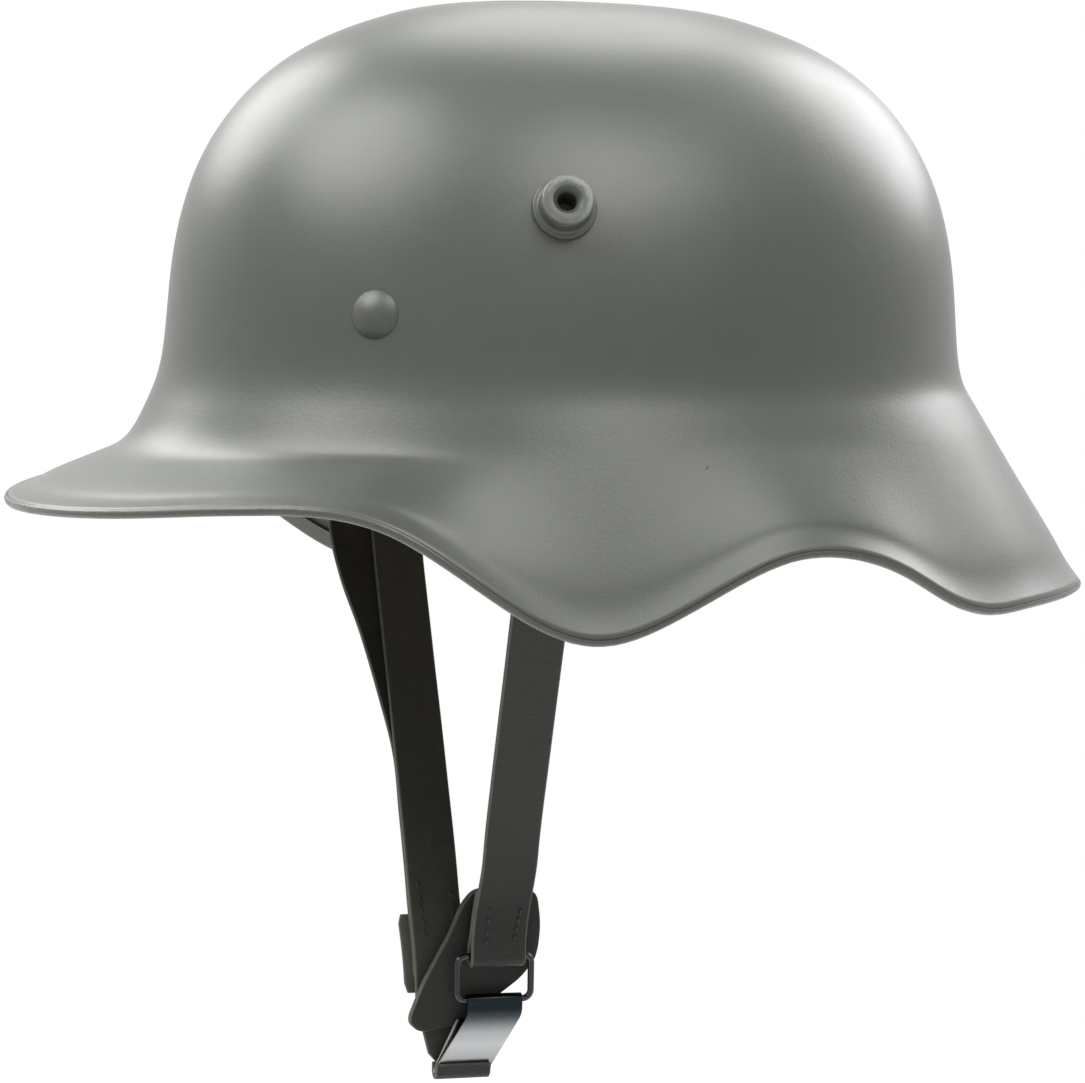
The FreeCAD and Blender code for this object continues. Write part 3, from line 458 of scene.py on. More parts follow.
def ribbon(path, width, thickness, wander=0.0, seed=0.0, crown=0.0, corners=0.0, edge=0.45):
    """Points and faces of a flat strap along a path, its width along Y, with the material of each face.

    Material 0 is the side that the path's normals point to, 1 the cut edges and 2 the other side.
    """
    section = strap_section(width, thickness, edge=edge, crown=crown)
    count = len(section)
    points = []
    lengths = [0.0]
    for a, b in zip(path, path[1:]):
        lengths.append(lengths[-1] + float(np.linalg.norm(b - a)))
    for here, normal, length in zip(path, path_normals(path), lengths):
        swell = 1 + WIDTH_WANDER * wander * noise.noise(Vector((length * 0.045, seed, 0.3)))
        narrow = 1.0
        end = min(length, lengths[-1] - length)
        if corners and end < corners:
            narrow = 1.0 - (1.0 - math.sqrt(max(0.0, 1 - (1 - end / corners) ** 2))) * 2 * corners / width
        for y, n, _ in section:
            cup = FACE_WANDER * wander * noise.noise(Vector((length * 0.03, seed + 4.0, y * 0.05)))
            points.append(here + np.array([0.0, y * narrow * swell, 0.0]) + normal * (n + cup))
    flags = []
    for i in range(len(path) - 1):
        for j in range(count):
            k = (j + 1) % count
            flags.append(1 if section[j][2] or section[k][2] else 0 if section[j][1] > 0 else 2)
    return points, capped(len(path), count), flags + [1, 1]


def around(bar, radius, start, end, count):
    """Points round a bar between two angles, in degrees in the XZ plane."""
    angles = [math.radians(between(start, end, i / count)) for i in range(count + 1)]
    return [bar + radius * np.array([math.cos(a), 0.0, math.sin(a)]) for a in angles]


def through(points, per_step):
    """Smooth path through points, with the same number of steps between each two."""
    points = [np.array(p, float) for p in points]
    padded = [2 * points[0] - points[1]] + points + [2 * points[-1] - points[-2]]
    path = []
    for p0, p1, p2, p3 in zip(padded, padded[1:], padded[2:], padded[3:]):
        for i in range(per_step):
            t = i / per_step
            path.append(0.5 * (2 * p1 + (p2 - p0) * t + (2 * p0 - 5 * p1 + 4 * p2 - p3) * t ** 2
                               + (3 * p1 - p0 - 3 * p2 + p3) * t ** 3))
    return path + [points[-1]]


def hang(top, foot, steps=72):
    """Evenly spaced points on the centre line of a hanging strap."""
    dense = through([between(top, foot, np.array([sx, sz, sz])) for sx, sz in zip(HANG_X, HANG_Z)], 24)
    lengths = np.concatenate([[0.0], np.cumsum([np.linalg.norm(b - a) for a, b in zip(dense, dense[1:])])])
    at = np.linspace(0.0, lengths[-1], steps + 1)
    return [np.array([np.interp(s, lengths, [p[i] for p in dense]) for i in range(3)]) for s in at]


def bow(run, shifts):
    """Run of a strap bowed along Y by a table of shifts from its top to its foot."""
    top, foot = run[0][2], run[-1][2]
    return [p + [0, smooth_table(shifts, 180.0 * (top - p[2]) / (top - foot)), 0] for p in run]


def layer_beside(run, gap_at_start, side):
    """Points of a second strap layer beside a run, closing from the fold's gap to a close fit."""
    close = STRAP + LAYER_GAP
    points, length = [], 0.0
    for i, (point, normal) in enumerate(zip(run, path_normals(run))):
        length += float(np.linalg.norm(point - run[i - 1])) if i else 0.0
        share = min(1.0, length / CLOSE_LENGTH)
        gap = between(gap_at_start, close, share * share * (3 - 2 * share))
        points.append((point + normal * (gap * side), length))
    return points


def bail_bar():
    """Middle of the bar of the left bail."""
    a = math.radians(BAIL_TILT)
    return np.array([EYE_X - BAIL_DROP * math.sin(a), BAIL_Y, EYE_Z - BAIL_DROP * math.cos(a)])


BAIL_FOLD = BAIL_WIRE + STRAP_PLAY + STRAP / 2
FOOT_FOLD = FRAME_WIRE + STRAP_PLAY + STRAP / 2


def near_strap_run():
    """Fold over the bail, hanging run and fold round the frame's bar of the near strap."""
    bar = bail_bar() * [1, 0, 1] + [0, LEFT_TOP_Y, 0]
    foot = np.array([FRAME_X, LEFT_FOOT_Y, FRAME_BAR_Z])
    loop = around(bar, BAIL_FOLD, 180 - BAIL_TILT, -BAIL_TILT, 14)
    under = around(foot, FOOT_FOLD, 0, -180, 14)
    return loop, bow(hang(loop[-1], under[0]), NEAR_BOW), under


def near_strap_path():
    """Folded round the bail at the top and round the frame's bar at the foot."""
    loop, run, under = near_strap_run()
    inner = [p for p, s in layer_beside(run, 2 * BAIL_FOLD, -1) if s < LEFT_TURNBACK]
    tail = [p for p, s in layer_beside(run[::-1], 2 * FOOT_FOLD, 1) if s < FOOT_TURNBACK]
    return inner[:0:-1] + loop + run[1:-1] + under + tail[1:]


def far_strap_run():
    """Fold over the bail and straight run of the far strap; made on the left and mirrored later."""
    bar = bail_bar() * [1, 0, 1] + [0, RIGHT_Y, 0]
    loop = around(bar, BAIL_FOLD, -BAIL_TILT, 180 - BAIL_TILT, 14)
    return bar, loop, bow(hang(loop[-1], np.array([RIGHT_KNEE[0], RIGHT_Y, RIGHT_KNEE[1]])), FAR_BOW)


def tab_end_path():
    """Second leather on the outside of the tab's end, set a little forward."""
    run = far_strap_run()[2]
    reach = 2 * (STRAP + LAYER_GAP)
    path = []
    for point, normal in zip(run, path_normals(run)):
        share = (TAB_END_TOP_Z - point[2]) / (TAB_END_TOP_Z - TAB_END_FOOT_Z)
        if 0.0 <= share <= 1.0:
            path.append(point + normal * reach - [0, between(*TAB_END_SHIFT, share), 0])
    return path


def far_strap_path():
    """The long end returns down the outside as a tab, bowed to the front."""
    bar, loop, run = far_strap_run()
    outer = [p for p, _ in layer_beside(run, 2 * BAIL_FOLD, 1) if p[2] > TAB_FOOT_Z]
    smooth = [p[0] for p in through([(share, 0, 0) for share in TAB_BOW_SHARES], 12)]
    at = np.linspace(0.0, 1.0, len(smooth))
    bowed = []
    for point in outer:
        share = (bar[2] - point[2]) / (bar[2] - TAB_FOOT_Z)
        bowed.append(point - [0, TAB_BOW * np.interp(share, at, smooth), 0])
    lower = [between(run[-1], np.array(RIGHT_FOOT), t) for t in QUARTERS]
    return bowed[:0:-1] + loop + run[1:] + lower


# Shader groups and materials

MIX_A, MIX_B, MIX_RESULT = 6, 7, 2     # sockets of a Mix node that mixes colours
CLOTH_BEND = 0.085                     # mean radius that the weave is wound at, in metres


def add(tree, kind, values=(), **settings):
    """New node with settings, and values for its inputs: numbers, colours or sockets to link from."""
    node = tree.nodes.new(kind)
    for key, value in settings.items():
        setattr(node, key, value)
    for name, value in dict(values).items():
        socket = node.inputs[name]
        if isinstance(value, bpy.types.NodeSocket):
            tree.links.new(value, socket)
        else:
            socket.default_value = value
    return node


def math_node(tree, operation, a, b=0.0, clamp=False):
    return add(tree, "ShaderNodeMath", {0: a, 1: b}, operation=operation, use_clamp=clamp).outputs[0]


def weighed(tree, a, share_a, b, share_b):
    """Sum of two values by their shares."""
    return math_node(tree, "ADD", math_node(tree, "MULTIPLY", a, share_a),
                     math_node(tree, "MULTIPLY", b, share_b))


def scaled(tree, where, scale):
    """Coordinates times a scale."""
    return add(tree, "ShaderNodeVectorMath", {0: where, "Scale": scale}, operation="SCALE").outputs[0]


def remap(tree, value, low, high, to_low=0.0, to_high=1.0):
    node = add(tree, "ShaderNodeMapRange", {"Value": value, "From Min": low, "From Max": high,
                                            "To Min": to_low, "To Max": to_high}, clamp=True)
    return node.outputs["Result"]


def noise_at(tree, where, scale, detail=3.0, roughness=0.55, stretch=None):
    if stretch:
        where = add(tree, "ShaderNodeMapping", {"Vector": where, "Scale": stretch}).outputs[0]
    return add(tree, "ShaderNodeTexNoise", {"Vector": where, "Scale": scale, "Detail": detail,
                                            "Roughness": roughness}).outputs["Fac"]


def new_group(name, inputs, outputs):
    """Shader group with float inputs (name, default) and float outputs, and its object coordinates."""
    group = bpy.data.node_groups.new(name, "ShaderNodeTree")
    for label, default in inputs:
        socket = group.interface.new_socket(label, in_out="INPUT", socket_type="NodeSocketFloat")
        socket.default_value = default
    for label in outputs:
        group.interface.new_socket(label, in_out="OUTPUT", socket_type="NodeSocketFloat")
    given = group.nodes.new("NodeGroupInput")
    result = group.nodes.new("NodeGroupOutput")
    where = group.nodes.new("ShaderNodeTexCoord").outputs["Object"]
    return group, given.outputs, result.inputs, where


def paint_group():
    """Sprayed paint: orange peel, a few trapped specks and slow patches of tone."""
    g, given, result, where = new_group("sprayed_paint", [("Peel", 1.0), ("Specks", 1.0)],
                                        ["Height", "Tone"])
    peel = noise_at(g, where, 1300.0, 3.0, 0.65)
    ripple = noise_at(g, where, 130.0, 2.0)
    cells = add(g, "ShaderNodeTexVoronoi", {"Vector": where, "Scale": 46.0, "Randomness": 1.0})
    chosen = add(g, "ShaderNodeSeparateColor", {"Color": cells.outputs["Color"]}).outputs["Red"]
    speck = remap(g, cells.outputs["Distance"], 0.012, 0.034, 1.0, 0.0)
    speck = math_node(g, "MULTIPLY", speck, remap(g, chosen, 0.55, 0.75))
    speck = math_node(g, "MULTIPLY", speck, given["Specks"])
    height = math_node(g, "MULTIPLY", weighed(g, peel, 0.4, ripple, 0.25), given["Peel"])
    g.links.new(math_node(g, "ADD", height, math_node(g, "MULTIPLY", speck, 0.9)), result["Height"])
    patches = noise_at(g, where, 26.0, 5.0, 0.62)
    fine = noise_at(g, where, 240.0, 3.0)
    g.links.new(remap(g, weighed(g, patches, 0.72, fine, 0.28), 0.3, 0.7), result["Tone"])


def wear_group():
    """Rubbed edges: an edge mask broken up by noise."""
    g, given, result, where = new_group("edge_wear", [("Edge", 0.0), ("Amount", 0.5)], ["Mask"])
    rubbed = noise_at(g, where, 95.0, 6.0, 0.7)
    chips = noise_at(g, where, 520.0, 4.0, 0.6)
    reach = math_node(g, "MULTIPLY", given["Edge"], given["Amount"])
    level = math_node(g, "ADD", weighed(g, rubbed, 0.65, chips, 0.35), reach)
    g.links.new(remap(g, level, 0.78, 0.88), result["Mask"])


def leather_group():
    """Leather: pebbled grain, pores and long creases."""
    g, given, result, where = new_group("leather_grain", [("Scale", 1.0), ("Creases", 1.0)],
                                        ["Height", "Tone"])
    at = scaled(g, where, given["Scale"])
    cells = add(g, "ShaderNodeTexVoronoi", {"Vector": at, "Scale": 1150.0}, feature="SMOOTH_F1")
    pore = noise_at(g, at, 1500.0, 4.0, 0.65)
    crease = noise_at(g, at, 85.0, 4.0, 0.6, stretch=(1.0, 0.35, 1.6))
    crease = remap(g, math_node(g, "ABSOLUTE", math_node(g, "SUBTRACT", crease, 0.5)), 0.0, 0.05, -1.0, 0.0)
    crease = math_node(g, "MULTIPLY", crease, given["Creases"])
    height = weighed(g, cells.outputs["Distance"], 0.8, pore, 0.5)
    g.links.new(math_node(g, "ADD", height, math_node(g, "MULTIPLY", crease, 0.35)), result["Height"])
    cloud = noise_at(g, at, 60.0, 5.0, 0.6)
    g.links.new(remap(g, weighed(g, cloud, 0.7, pore, 0.3), 0.3, 0.7), result["Tone"])


def fibre_group():
    """Cut or suede leather: short matted fibres."""
    g, given, result, where = new_group("cut_fibre", [("Scale", 1.0)], ["Height", "Tone"])
    at = scaled(g, where, given["Scale"])
    fluff = noise_at(g, at, 1900.0, 6.0, 0.75)
    matted = noise_at(g, at, 420.0, 4.0, 0.6)
    total = weighed(g, fluff, 0.6, matted, 0.4)
    g.links.new(total, result["Height"])
    g.links.new(remap(g, total, 0.32, 0.68), result["Tone"])


def weave_group():
    """Plain cloth: threads over and under each other, round the head and upwards."""
    g, given, result, where = new_group("plain_weave", [("Threads", 1100.0)], ["Height", "Tone"])
    apart = add(g, "ShaderNodeSeparateXYZ", {"Vector": where}).outputs
    round_head = math_node(g, "MULTIPLY", math_node(g, "ARCTAN2", apart["Y"], apart["X"]), CLOTH_BEND)
    waves = []
    for along in (round_head, apart["Z"]):
        counted = math_node(g, "MULTIPLY", along, given["Threads"])
        waves.append(math_node(g, "SINE", math_node(g, "MULTIPLY", counted, 2 * math.pi)))
    cross = math_node(g, "MULTIPLY", *waves)
    slub = noise_at(g, where, 300.0, 4.0, 0.6)
    g.links.new(math_node(g, "ADD", math_node(g, "MULTIPLY", cross, 0.5), slub), result["Height"])
    tone = math_node(g, "ADD", math_node(g, "MULTIPLY", cross, 0.12), slub)
    g.links.new(remap(g, tone, 0.25, 0.75), result["Tone"])


def steel_group():
    """Aged steel: rolling marks, blotches and fine pits."""
    g, given, result, where = new_group("aged_steel", [("Pits", 1.0)], ["Height", "Tone"])
    marks = noise_at(g, where, 240.0, 3.0, 0.6, stretch=(1.0, 1.0, 9.0))
    blotch = noise_at(g, where, 55.0, 5.0, 0.65)
    pits = remap(g, noise_at(g, where, 900.0, 3.0), 0.62, 0.72, 0.0, -1.0)
    pits = math_node(g, "MULTIPLY", pits, given["Pits"])
    g.links.new(math_node(g, "ADD", math_node(g, "MULTIPLY", marks, 0.4), pits), result["Height"])
    g.links.new(remap(g, weighed(g, marks, 0.4, blotch, 0.6), 0.33, 0.67), result["Tone"])


GROUPS = {"sprayed_paint": paint_group, "edge_wear": wear_group, "leather_grain": leather_group,
          "cut_fibre": fibre_group, "plain_weave": weave_group, "aged_steel": steel_group}


def group_node(tree, name, values):
    """Outputs of one of the groups, placed in a material with its own values."""
    if name not in bpy.data.node_groups:
        GROUPS[name]()
    return add(tree, "ShaderNodeGroup", values, node_tree=bpy.data.node_groups[name]).outputs


def mix_colours(tree, factor, a, b):
    """Mix of two colours, each a socket or three numbers."""
    node = add(tree, "ShaderNodeMix", {"Factor": factor}, data_type="RGBA")
    for socket, colour in ((node.inputs[MIX_A], a), (node.inputs[MIX_B], b)):
        if isinstance(colour, bpy.types.NodeSocket):
            tree.links.new(colour, socket)
        else:
            socket.default_value = (*colour, 1.0)
    return node.outputs[MIX_RESULT]


def shade(colour, share):
    """Colour made darker or lighter by a share."""
    return tuple(min(1.0, c * share) for c in colour)


def finish(name, group, values, low, high, rough, bump, depth, metallic=0.0, sheen=0.0, specular=0.5,
           rim=None, fade=None):
    """Material whose colour, gloss and relief all follow one of the groups, once for each name.

    rim is a colour and an amount for broken wear where the edge attribute is high; fade is a colour that it
    turns into smoothly as the edge attribute rises, used for the hook's rubbed steel and painted reflection.
    """
    if name in bpy.data.materials:
        return bpy.data.materials[name]
    material = bpy.data.materials.new(name)
    material.use_nodes = True
    tree = material.node_tree
    shader = tree.nodes["Principled BSDF"]
    effect = group_node(tree, group, values)
    colour = mix_colours(tree, effect["Tone"], low, high)
    roughness = remap(tree, effect["Tone"], 0.0, 1.0, *rough)
    height = effect["Height"]
    if rim:
        edge = add(tree, "ShaderNodeAttribute", attribute_name="edge").outputs["Fac"]
        worn = group_node(tree, "edge_wear", {"Edge": edge, "Amount": rim[1]})["Mask"]
        colour = mix_colours(tree, worn, colour, rim[0])
        roughness = math_node(tree, "SUBTRACT", roughness, math_node(tree, "MULTIPLY", worn, 0.12))
        height = math_node(tree, "SUBTRACT", height, math_node(tree, "MULTIPLY", worn, 0.4))
    if fade:
        edge = add(tree, "ShaderNodeAttribute", attribute_name="edge").outputs["Fac"]
        colour = mix_colours(tree, edge, colour, fade)
    tree.links.new(colour, shader.inputs["Base Color"])
    tree.links.new(roughness, shader.inputs["Roughness"])
    relief = add(tree, "ShaderNodeBump", {"Height": height, "Strength": bump, "Distance": depth})
    tree.links.new(relief.outputs[0], shader.inputs["Normal"])
    shader.inputs["Metallic"].default_value = metallic
    shader.inputs["Specular IOR Level"].default_value = specular
    shader.inputs["Sheen Weight"].default_value = sheen
    return material


RUBBED = (0.064, 0.061, 0.048)       # primer where the rim's paint is rubbed thin
BLACKED = ((0.004, 0.004, 0.0045), (0.01, 0.01, 0.011))


def shell_paint(looks):
    c, rough = looks.paint, looks.paint_roughness
    return finish("shell_paint", "sprayed_paint", {"Peel": 1.0, "Specks": 1.0}, shade(c, 0.93),
                  shade(c, 1.07), (rough - 0.03, rough + 0.04), 0.26, 0.0004, rim=(RUBBED, 0.38))


def inner_paint(looks):
    c = looks.paint
    return finish("inner_paint", "sprayed_paint", {"Peel": 1.6, "Specks": 1.0}, shade(c, 0.8), c,
                  (0.5, 0.62), 0.35, 0.0004)


def fitting_paint(looks):
    c = looks.paint
    return finish("fitting_paint", "sprayed_paint", {"Peel": 1.3, "Specks": 0.4}, shade(c, 0.9),
                  shade(c, 1.08), (0.36, 0.44), 0.3, 0.0003, rim=(shade(c, 1.9), 0.42))


def liner_steel(looks):
    c = looks.steel
    return finish("liner_steel", "aged_steel", {"Pits": 1.0}, shade(c, 0.6), c,
                  (0.38, 0.62), 0.3, 0.0002, metallic=1.0)


def liner_leather(looks):
    c = looks.liner
    return finish("liner_leather_grain", "leather_grain", {"Scale": 0.8, "Creases": 1.0}, shade(c, 0.66), c,
                  (0.5, 0.66), 0.4, 0.0004, sheen=0.1)


def cushion_cloth(looks):
    c = looks.cushion
    return finish("cushion_weave", "plain_weave", {"Threads": 1100.0}, shade(c, 0.78), c,
                  (0.82, 0.92), 0.5, 0.0003, sheen=0.3, specular=0.2)


def strap_leather(looks):
    c = looks.strap
    return finish("strap_grain", "leather_grain", {"Scale": 1.0, "Creases": 0.8}, shade(c, 0.75),
                  shade(c, 1.3), (0.5, 0.62), 0.35, 0.0003, specular=0.22)


def strap_back(looks):
    c = looks.strap_back
    return finish("strap_flesh_side", "cut_fibre", {"Scale": 0.8}, shade(c, 0.7), shade(c, 1.25),
                  (0.6, 0.75), 0.35, 0.0003, specular=0.25)


def strap_edge(looks):
    c = looks.strap_edge
    return finish("strap_cut_edge", "cut_fibre", {"Scale": 1.0}, shade(c, 0.55), c,
                  (0.75, 0.9), 0.5, 0.0003, specular=0.25)


def thread(looks):
    c = looks.strap
    return finish("strap_thread", "cut_fibre", {"Scale": 1.6}, shade(c, 0.4), shade(c, 0.8),
                  (0.6, 0.75), 0.6, 0.0002)


def frame_black():
    return finish("frame_black", "aged_steel", {"Pits": 0.4}, *BLACKED, (0.1, 0.18), 0.12, 0.0001)


def hook_blue(looks):
    c = looks.hook
    # the hook's dark blue turns to bright steel by its edge attribute: rubbed steel, and a painted reflection
    # over its lower plane
    return finish("hook_blue", "aged_steel", {"Pits": 0.3}, shade(c, 0.72), c,
                  (0.16, 0.26), 0.1, 0.0001, metallic=1.0, fade=looks.hook_wear_and_reflection)


# Pieces

def edge_attribute(obj, values):
    """Stores how exposed each point is, for the wear of its material; on the hook, how far it turns to rubbed
    steel and painted reflection.
    """
    mask = obj.data.attributes.new("edge", "FLOAT", "POINT")
    mask.data.foreach_set("value", np.asarray(values, np.float32))


def build_shell(looks, sizes):
    """Fine skin of the shell: outside, round bead of the hem, fold and inside, bored at the lugs."""
    around_at = np.arange(COLUMNS) * NET_COLUMNS / COLUMNS
    fold = LAST - FOLD_BACK
    down_at = np.array([FIRST_ROW])
    for end, rows in SKIN_ROWS + [(fold, LIP_ROWS), (LAST, HEM_ROWS)]:
        down_at = np.append(down_at, np.linspace(down_at[-1], end, rows + 1)[1:])
    outside, normal, slope = surface(around_at, down_at)
    crown, _, _ = surface(np.array([0.0]), np.array([0.0]))
    folded = int(np.argmin(abs(down_at - fold)))
    last, n, s = outside[-1], normal[-1], slope[-1]
    wobble = np.array([noise.noise(Vector((math.cos(a) * 6, math.sin(a) * 6, 1.0)))
                       for a in np.linspace(0, 2 * math.pi, COLUMNS, endpoint=False)])[:, None]
    radius = sizes.bead / MM
    bead = radius + BEAD_WANDER * wobble
    rings = list(outside)
    wear = [0.2 if v > fold else 0.0 for v in down_at]
    rings.append(last - n * (sizes.groove / MM) + s * BEAD_STAND)
    wear.append(0.0)
    for i in range(BEAD_STEPS + 1):
        t = math.pi * (i + 1) / (BEAD_STEPS + 1)
        rings.append(last - n * (radius - bead * math.cos(t)) + s * (BEAD_STAND + bead * math.sin(t)))
        wear.append(0.2 + 0.8 * math.sin(t))
    rings.append(outside[folded] - normal[folded] * (2 * radius))
    rings += [outside[i] - normal[i] * SHEET for i in range(folded, -1, -1)]
    wear += [0.3, 0.1] + [0.0] * folded
    total = len(rings)
    points = np.concatenate(rings + [crown[0, :1], crown[0, :1] - UP * SHEET])
    edge = np.concatenate([np.repeat(wear, COLUMNS), [0.0, 0.0]])

    inner_start = total - folded - 1
    cut = np.zeros((folded, COLUMNS), bool)
    centres = (outside[:-1] + outside[1:] + np.roll(outside, -1, 1)[:-1] + np.roll(outside, -1, 1)[1:]) / 4
    point, axis = place(LUG_ANGLE, LUG_HEIGHT)
    for side in (1, -1):
        p, a = point * [side, 1, 1], axis * [side, 1, 1]
        reach = centres[:folded] - p
        off = reach - (reach @ a)[..., None] * a
        cut |= (np.linalg.norm(off, axis=2) < LUG_HOLE) & (np.linalg.norm(reach, axis=2) < 3 * LUG_HOLE)

    def inner(i):
        return inner_start + folded - i

    faces, paints = [], []
    for i in range(total - 1):
        outer_row = i < folded
        inner_row = i >= inner_start
        row = i if outer_row else inner_start + folded - i - 1 if inner_row else None
        for j in range(COLUMNS):
            k = (j + 1) % COLUMNS
            if row is not None and cut[row, j]:
                continue
            faces.append((i * COLUMNS + j, i * COLUMNS + k, (i + 1) * COLUMNS + k, (i + 1) * COLUMNS + j))
            paints.append(1 if i >= inner_start - 1 else 0)
    for i, j in zip(*np.nonzero(cut)):
        k = (j + 1) % COLUMNS
        for (di, dj), (a, b) in {(-1, 0): ((i, j), (i, k)), (1, 0): ((i + 1, j), (i + 1, k)),
                                 (0, -1): ((i, j), (i + 1, j)), (0, 1): ((i, k), (i + 1, k))}.items():
            if not cut[i + di, (j + dj) % COLUMNS]:
                faces.append((a[0] * COLUMNS + a[1], b[0] * COLUMNS + b[1],
                              inner(b[0]) * COLUMNS + b[1], inner(a[0]) * COLUMNS + a[1]))
                paints.append(1)
    top, under = total * COLUMNS, total * COLUMNS + 1
    for j in range(COLUMNS):
        k = (j + 1) % COLUMNS
        faces += [(top, j, k), (under, (total - 1) * COLUMNS + k, (total - 1) * COLUMNS + j)]
        paints += [0, 1]
    faces = [tuple(int(i) for i in face) for face in faces]
    skin = piece("shell_skin", points, faces, "helmet", ["shell"],
                 [shell_paint(looks), inner_paint(looks)], sharp=60.0, face_materials=paints)
    edge_attribute(skin, edge)


def build_lugs(looks):
    """Stepped hollow vent lugs, turned with chamfers and spread over inside the shell."""
    point, axis = place(LUG_ANGLE, LUG_HEIGHT)
    outline = rounded(LUG_OUTLINE + LUG_OUTLINE[:2], LUG_ROUNDING, 2)[1:-1]
    worn = [1.0 if r > LUG_RUBBED[0] and h > LUG_RUBBED[1] else 0.15 for r, h in outline]
    for side, sign in SIDES:
        points, faces = lathe(outline, point * [sign, 1, 1], axis * [sign, 1, 1], TURNED, closed=True)
        lug = piece("lug_turned_" + side, points, faces, "helmet", ["vent_lug_" + side],
                    [fitting_paint(looks)], sharp=50.0)
        edge_attribute(lug, np.repeat(worn, TURNED))


def build_rivets(looks):
    """Liner rivets: domed painted heads, shanks, and prongs bent flat inside the band."""
    sphere = (RIVET_RADIUS ** 2 + RIVET_DOME ** 2) / (2 * RIVET_DOME)
    dome = []
    for i in range(RIVET_STEPS + 1):
        a = math.asin(RIVET_RADIUS / sphere) * i / RIVET_STEPS
        dome.append((sphere * math.sin(a), RIVET_RISE - sphere * (1 - math.cos(a))))
    dome += RIVET_SKIRT + [(RIVET_SHANK, RIVET_SKIRT[-1][1])]
    section = strap_section(PRONG_WIDTH, PRONG, edge=0.3, across=3)
    for name, angle in RIVET_ANGLES.items():
        point, axis = place(angle, RIVET_HEIGHT)
        waist, out = plan(angle)
        under = ((point - waist).dot(out) + BAND_INSET) / axis.dot(out) + BAND_STAND
        shank = [(RIVET_SHANK, -under - PRONG_SUNK), (0.0, -under - PRONG_SUNK)]
        head = lathe(dome + shank, point, axis, 64)
        foot = point - axis * (under + PRONG / 2)
        side = np.cross(UP, out)
        prong = [foot + UP * z + side * y * narrow + out * n
                 for z, narrow in PRONG_ROWS for y, n, _ in section]
        points, faces = join([head, (prong, capped(len(PRONG_ROWS), len(section)))])
        inside = [1 if i >= len(head[1]) else 0 for i in range(len(faces))]
        rivet = piece("rivet_domed_" + name, points, faces, "helmet", ["liner_rivet_" + name],
                      [fitting_paint(looks), liner_steel(looks)], sharp=48.0,
                      face_materials=inside)
        edge_attribute(rivet, [0.0] * len(points))


def build_metal_fittings(looks, sizes):
    """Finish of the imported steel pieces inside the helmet, with their edges broken."""
    for name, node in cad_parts.items():
        if name.startswith(("spacer", "liner_band", "pad_rivets", "swivel_rivet", "bail_plate")):
            node.data.materials.clear()
            node.data.materials.append(liner_steel(looks))
            bevel = node.modifiers.new("broken edges", "BEVEL")
            bevel.width = sizes.broken_edge
            bevel.segments = 2
            bevel.limit_method = "ANGLE"
            bevel.angle_limit = math.radians(50)


# Pads, with angles in degrees round the head
PADS = {"front_left": 60.0, "rear": 180.0, "front_right": 300.0}
PAD_HALF, PAD_END = 57.5, 0.992
PAD_LEVELS = [BAND_BOTTOM, BAND_BOTTOM + 0.4, BAND_BOTTOM + 1.2, 8.0, 14.0, 20.0, BAND_TOP - 1.0,
              BAND_TOP + 0.6, BAND_TOP + 1.5, BAND_TOP + LEATHER]
FINGER_TURN = 30.0          # from the middle of a pad to that of its finger, and half the room of one
# Places on a finger are shares of the way over the head
FINGER_RISES = [0.0, 0.22, 0.42, 0.6, 0.76, 0.86]
FINGER_WIDTHS = [0.76, 0.78, 0.8, 0.78, 0.7, 0.5]
FINGER_TIP, FINGER_END, FINGER_BLUNT, FINGER_ROWS = 0.79, 0.87, 0.002, 30
FINGER_ROOT, FINGER_ROOT_REACH = 0.2, 0.04
LACE_HOLE, LACE_SHARE, BORE_REACH = 2.2, 0.8, 8.0
CUSHION_HALF, CUSHION_TAPER, SEAM_HALF = 43.0, 0.1, 0.9
CUSHION_FOOT, CUSHION_RISE, CUSHION_STAND, CUSHION_GAP = 1.0, 32.0, 3.4, 0.3
CUSHION_PUFF, LEAST_PUFF, CUSHION_SWELL = 1.5, 0.02, 0.5
SEAM_RADIUS, SEAM_SIDES, SEAM_BEND = 0.55, 8, 20.0


def over_head(angle, share, inset=0.0):
    """Point of the liner's outside at an angle, at a share of the way over the head."""
    waist, out = plan(angle)
    centre = np.array([0.0, CROWN_BACK, 0.0])
    a = share * math.pi / 2
    spoke = waist - out * (LEATHER_INSET + inset) - centre
    return centre + spoke * math.cos(a) + UP * (BAND_TOP + (HEAD_RISE - inset) * math.sin(a))


def sheet_rows(rows, across, thickness):
    """Closed leather of rows of places: each row is (angle, half span, where) with where(angle, inset)."""
    points = []
    for angle, half, where in rows:
        spots = [between(-1, 1, i / across) for i in range(across + 1)]
        width = np.linalg.norm(where(angle + half, 0) - where(angle - half, 0)) / 2
        edge = min(0.9 * thickness / 2, 0.3 * width)
        trim = 1 - edge / width
        outer = [where(angle + half * s * trim, 0.0) for s in spots]
        inner = [where(angle + half * s * trim, thickness) for s in spots]
        rim = [(half * (1 - edge / width * (1 - math.sin(t))), thickness * (1 - math.cos(t)) / 2)
               for t in (math.pi / 4, math.pi / 2, 3 * math.pi / 4)]
        right = [where(angle + reach, inset) for reach, inset in rim]
        left = [where(angle - reach, inset) for reach, inset in rim[::-1]]
        points += outer + right + inner[::-1] + left
    return points, capped(len(rows), len(points) // len(rows))


def strip_place(level):
    """Places on the band's strip at a level, for the rows of a sheet."""
    def where(angle, inset):
        waist, out = plan(angle)
        return waist - out * (LEATHER_INSET + inset) + UP * level
    return where


def finger_place(share):
    """Places on a finger at a share of the way over the head, for the rows of a sheet."""
    return lambda angle, inset: over_head(angle, share, inset)


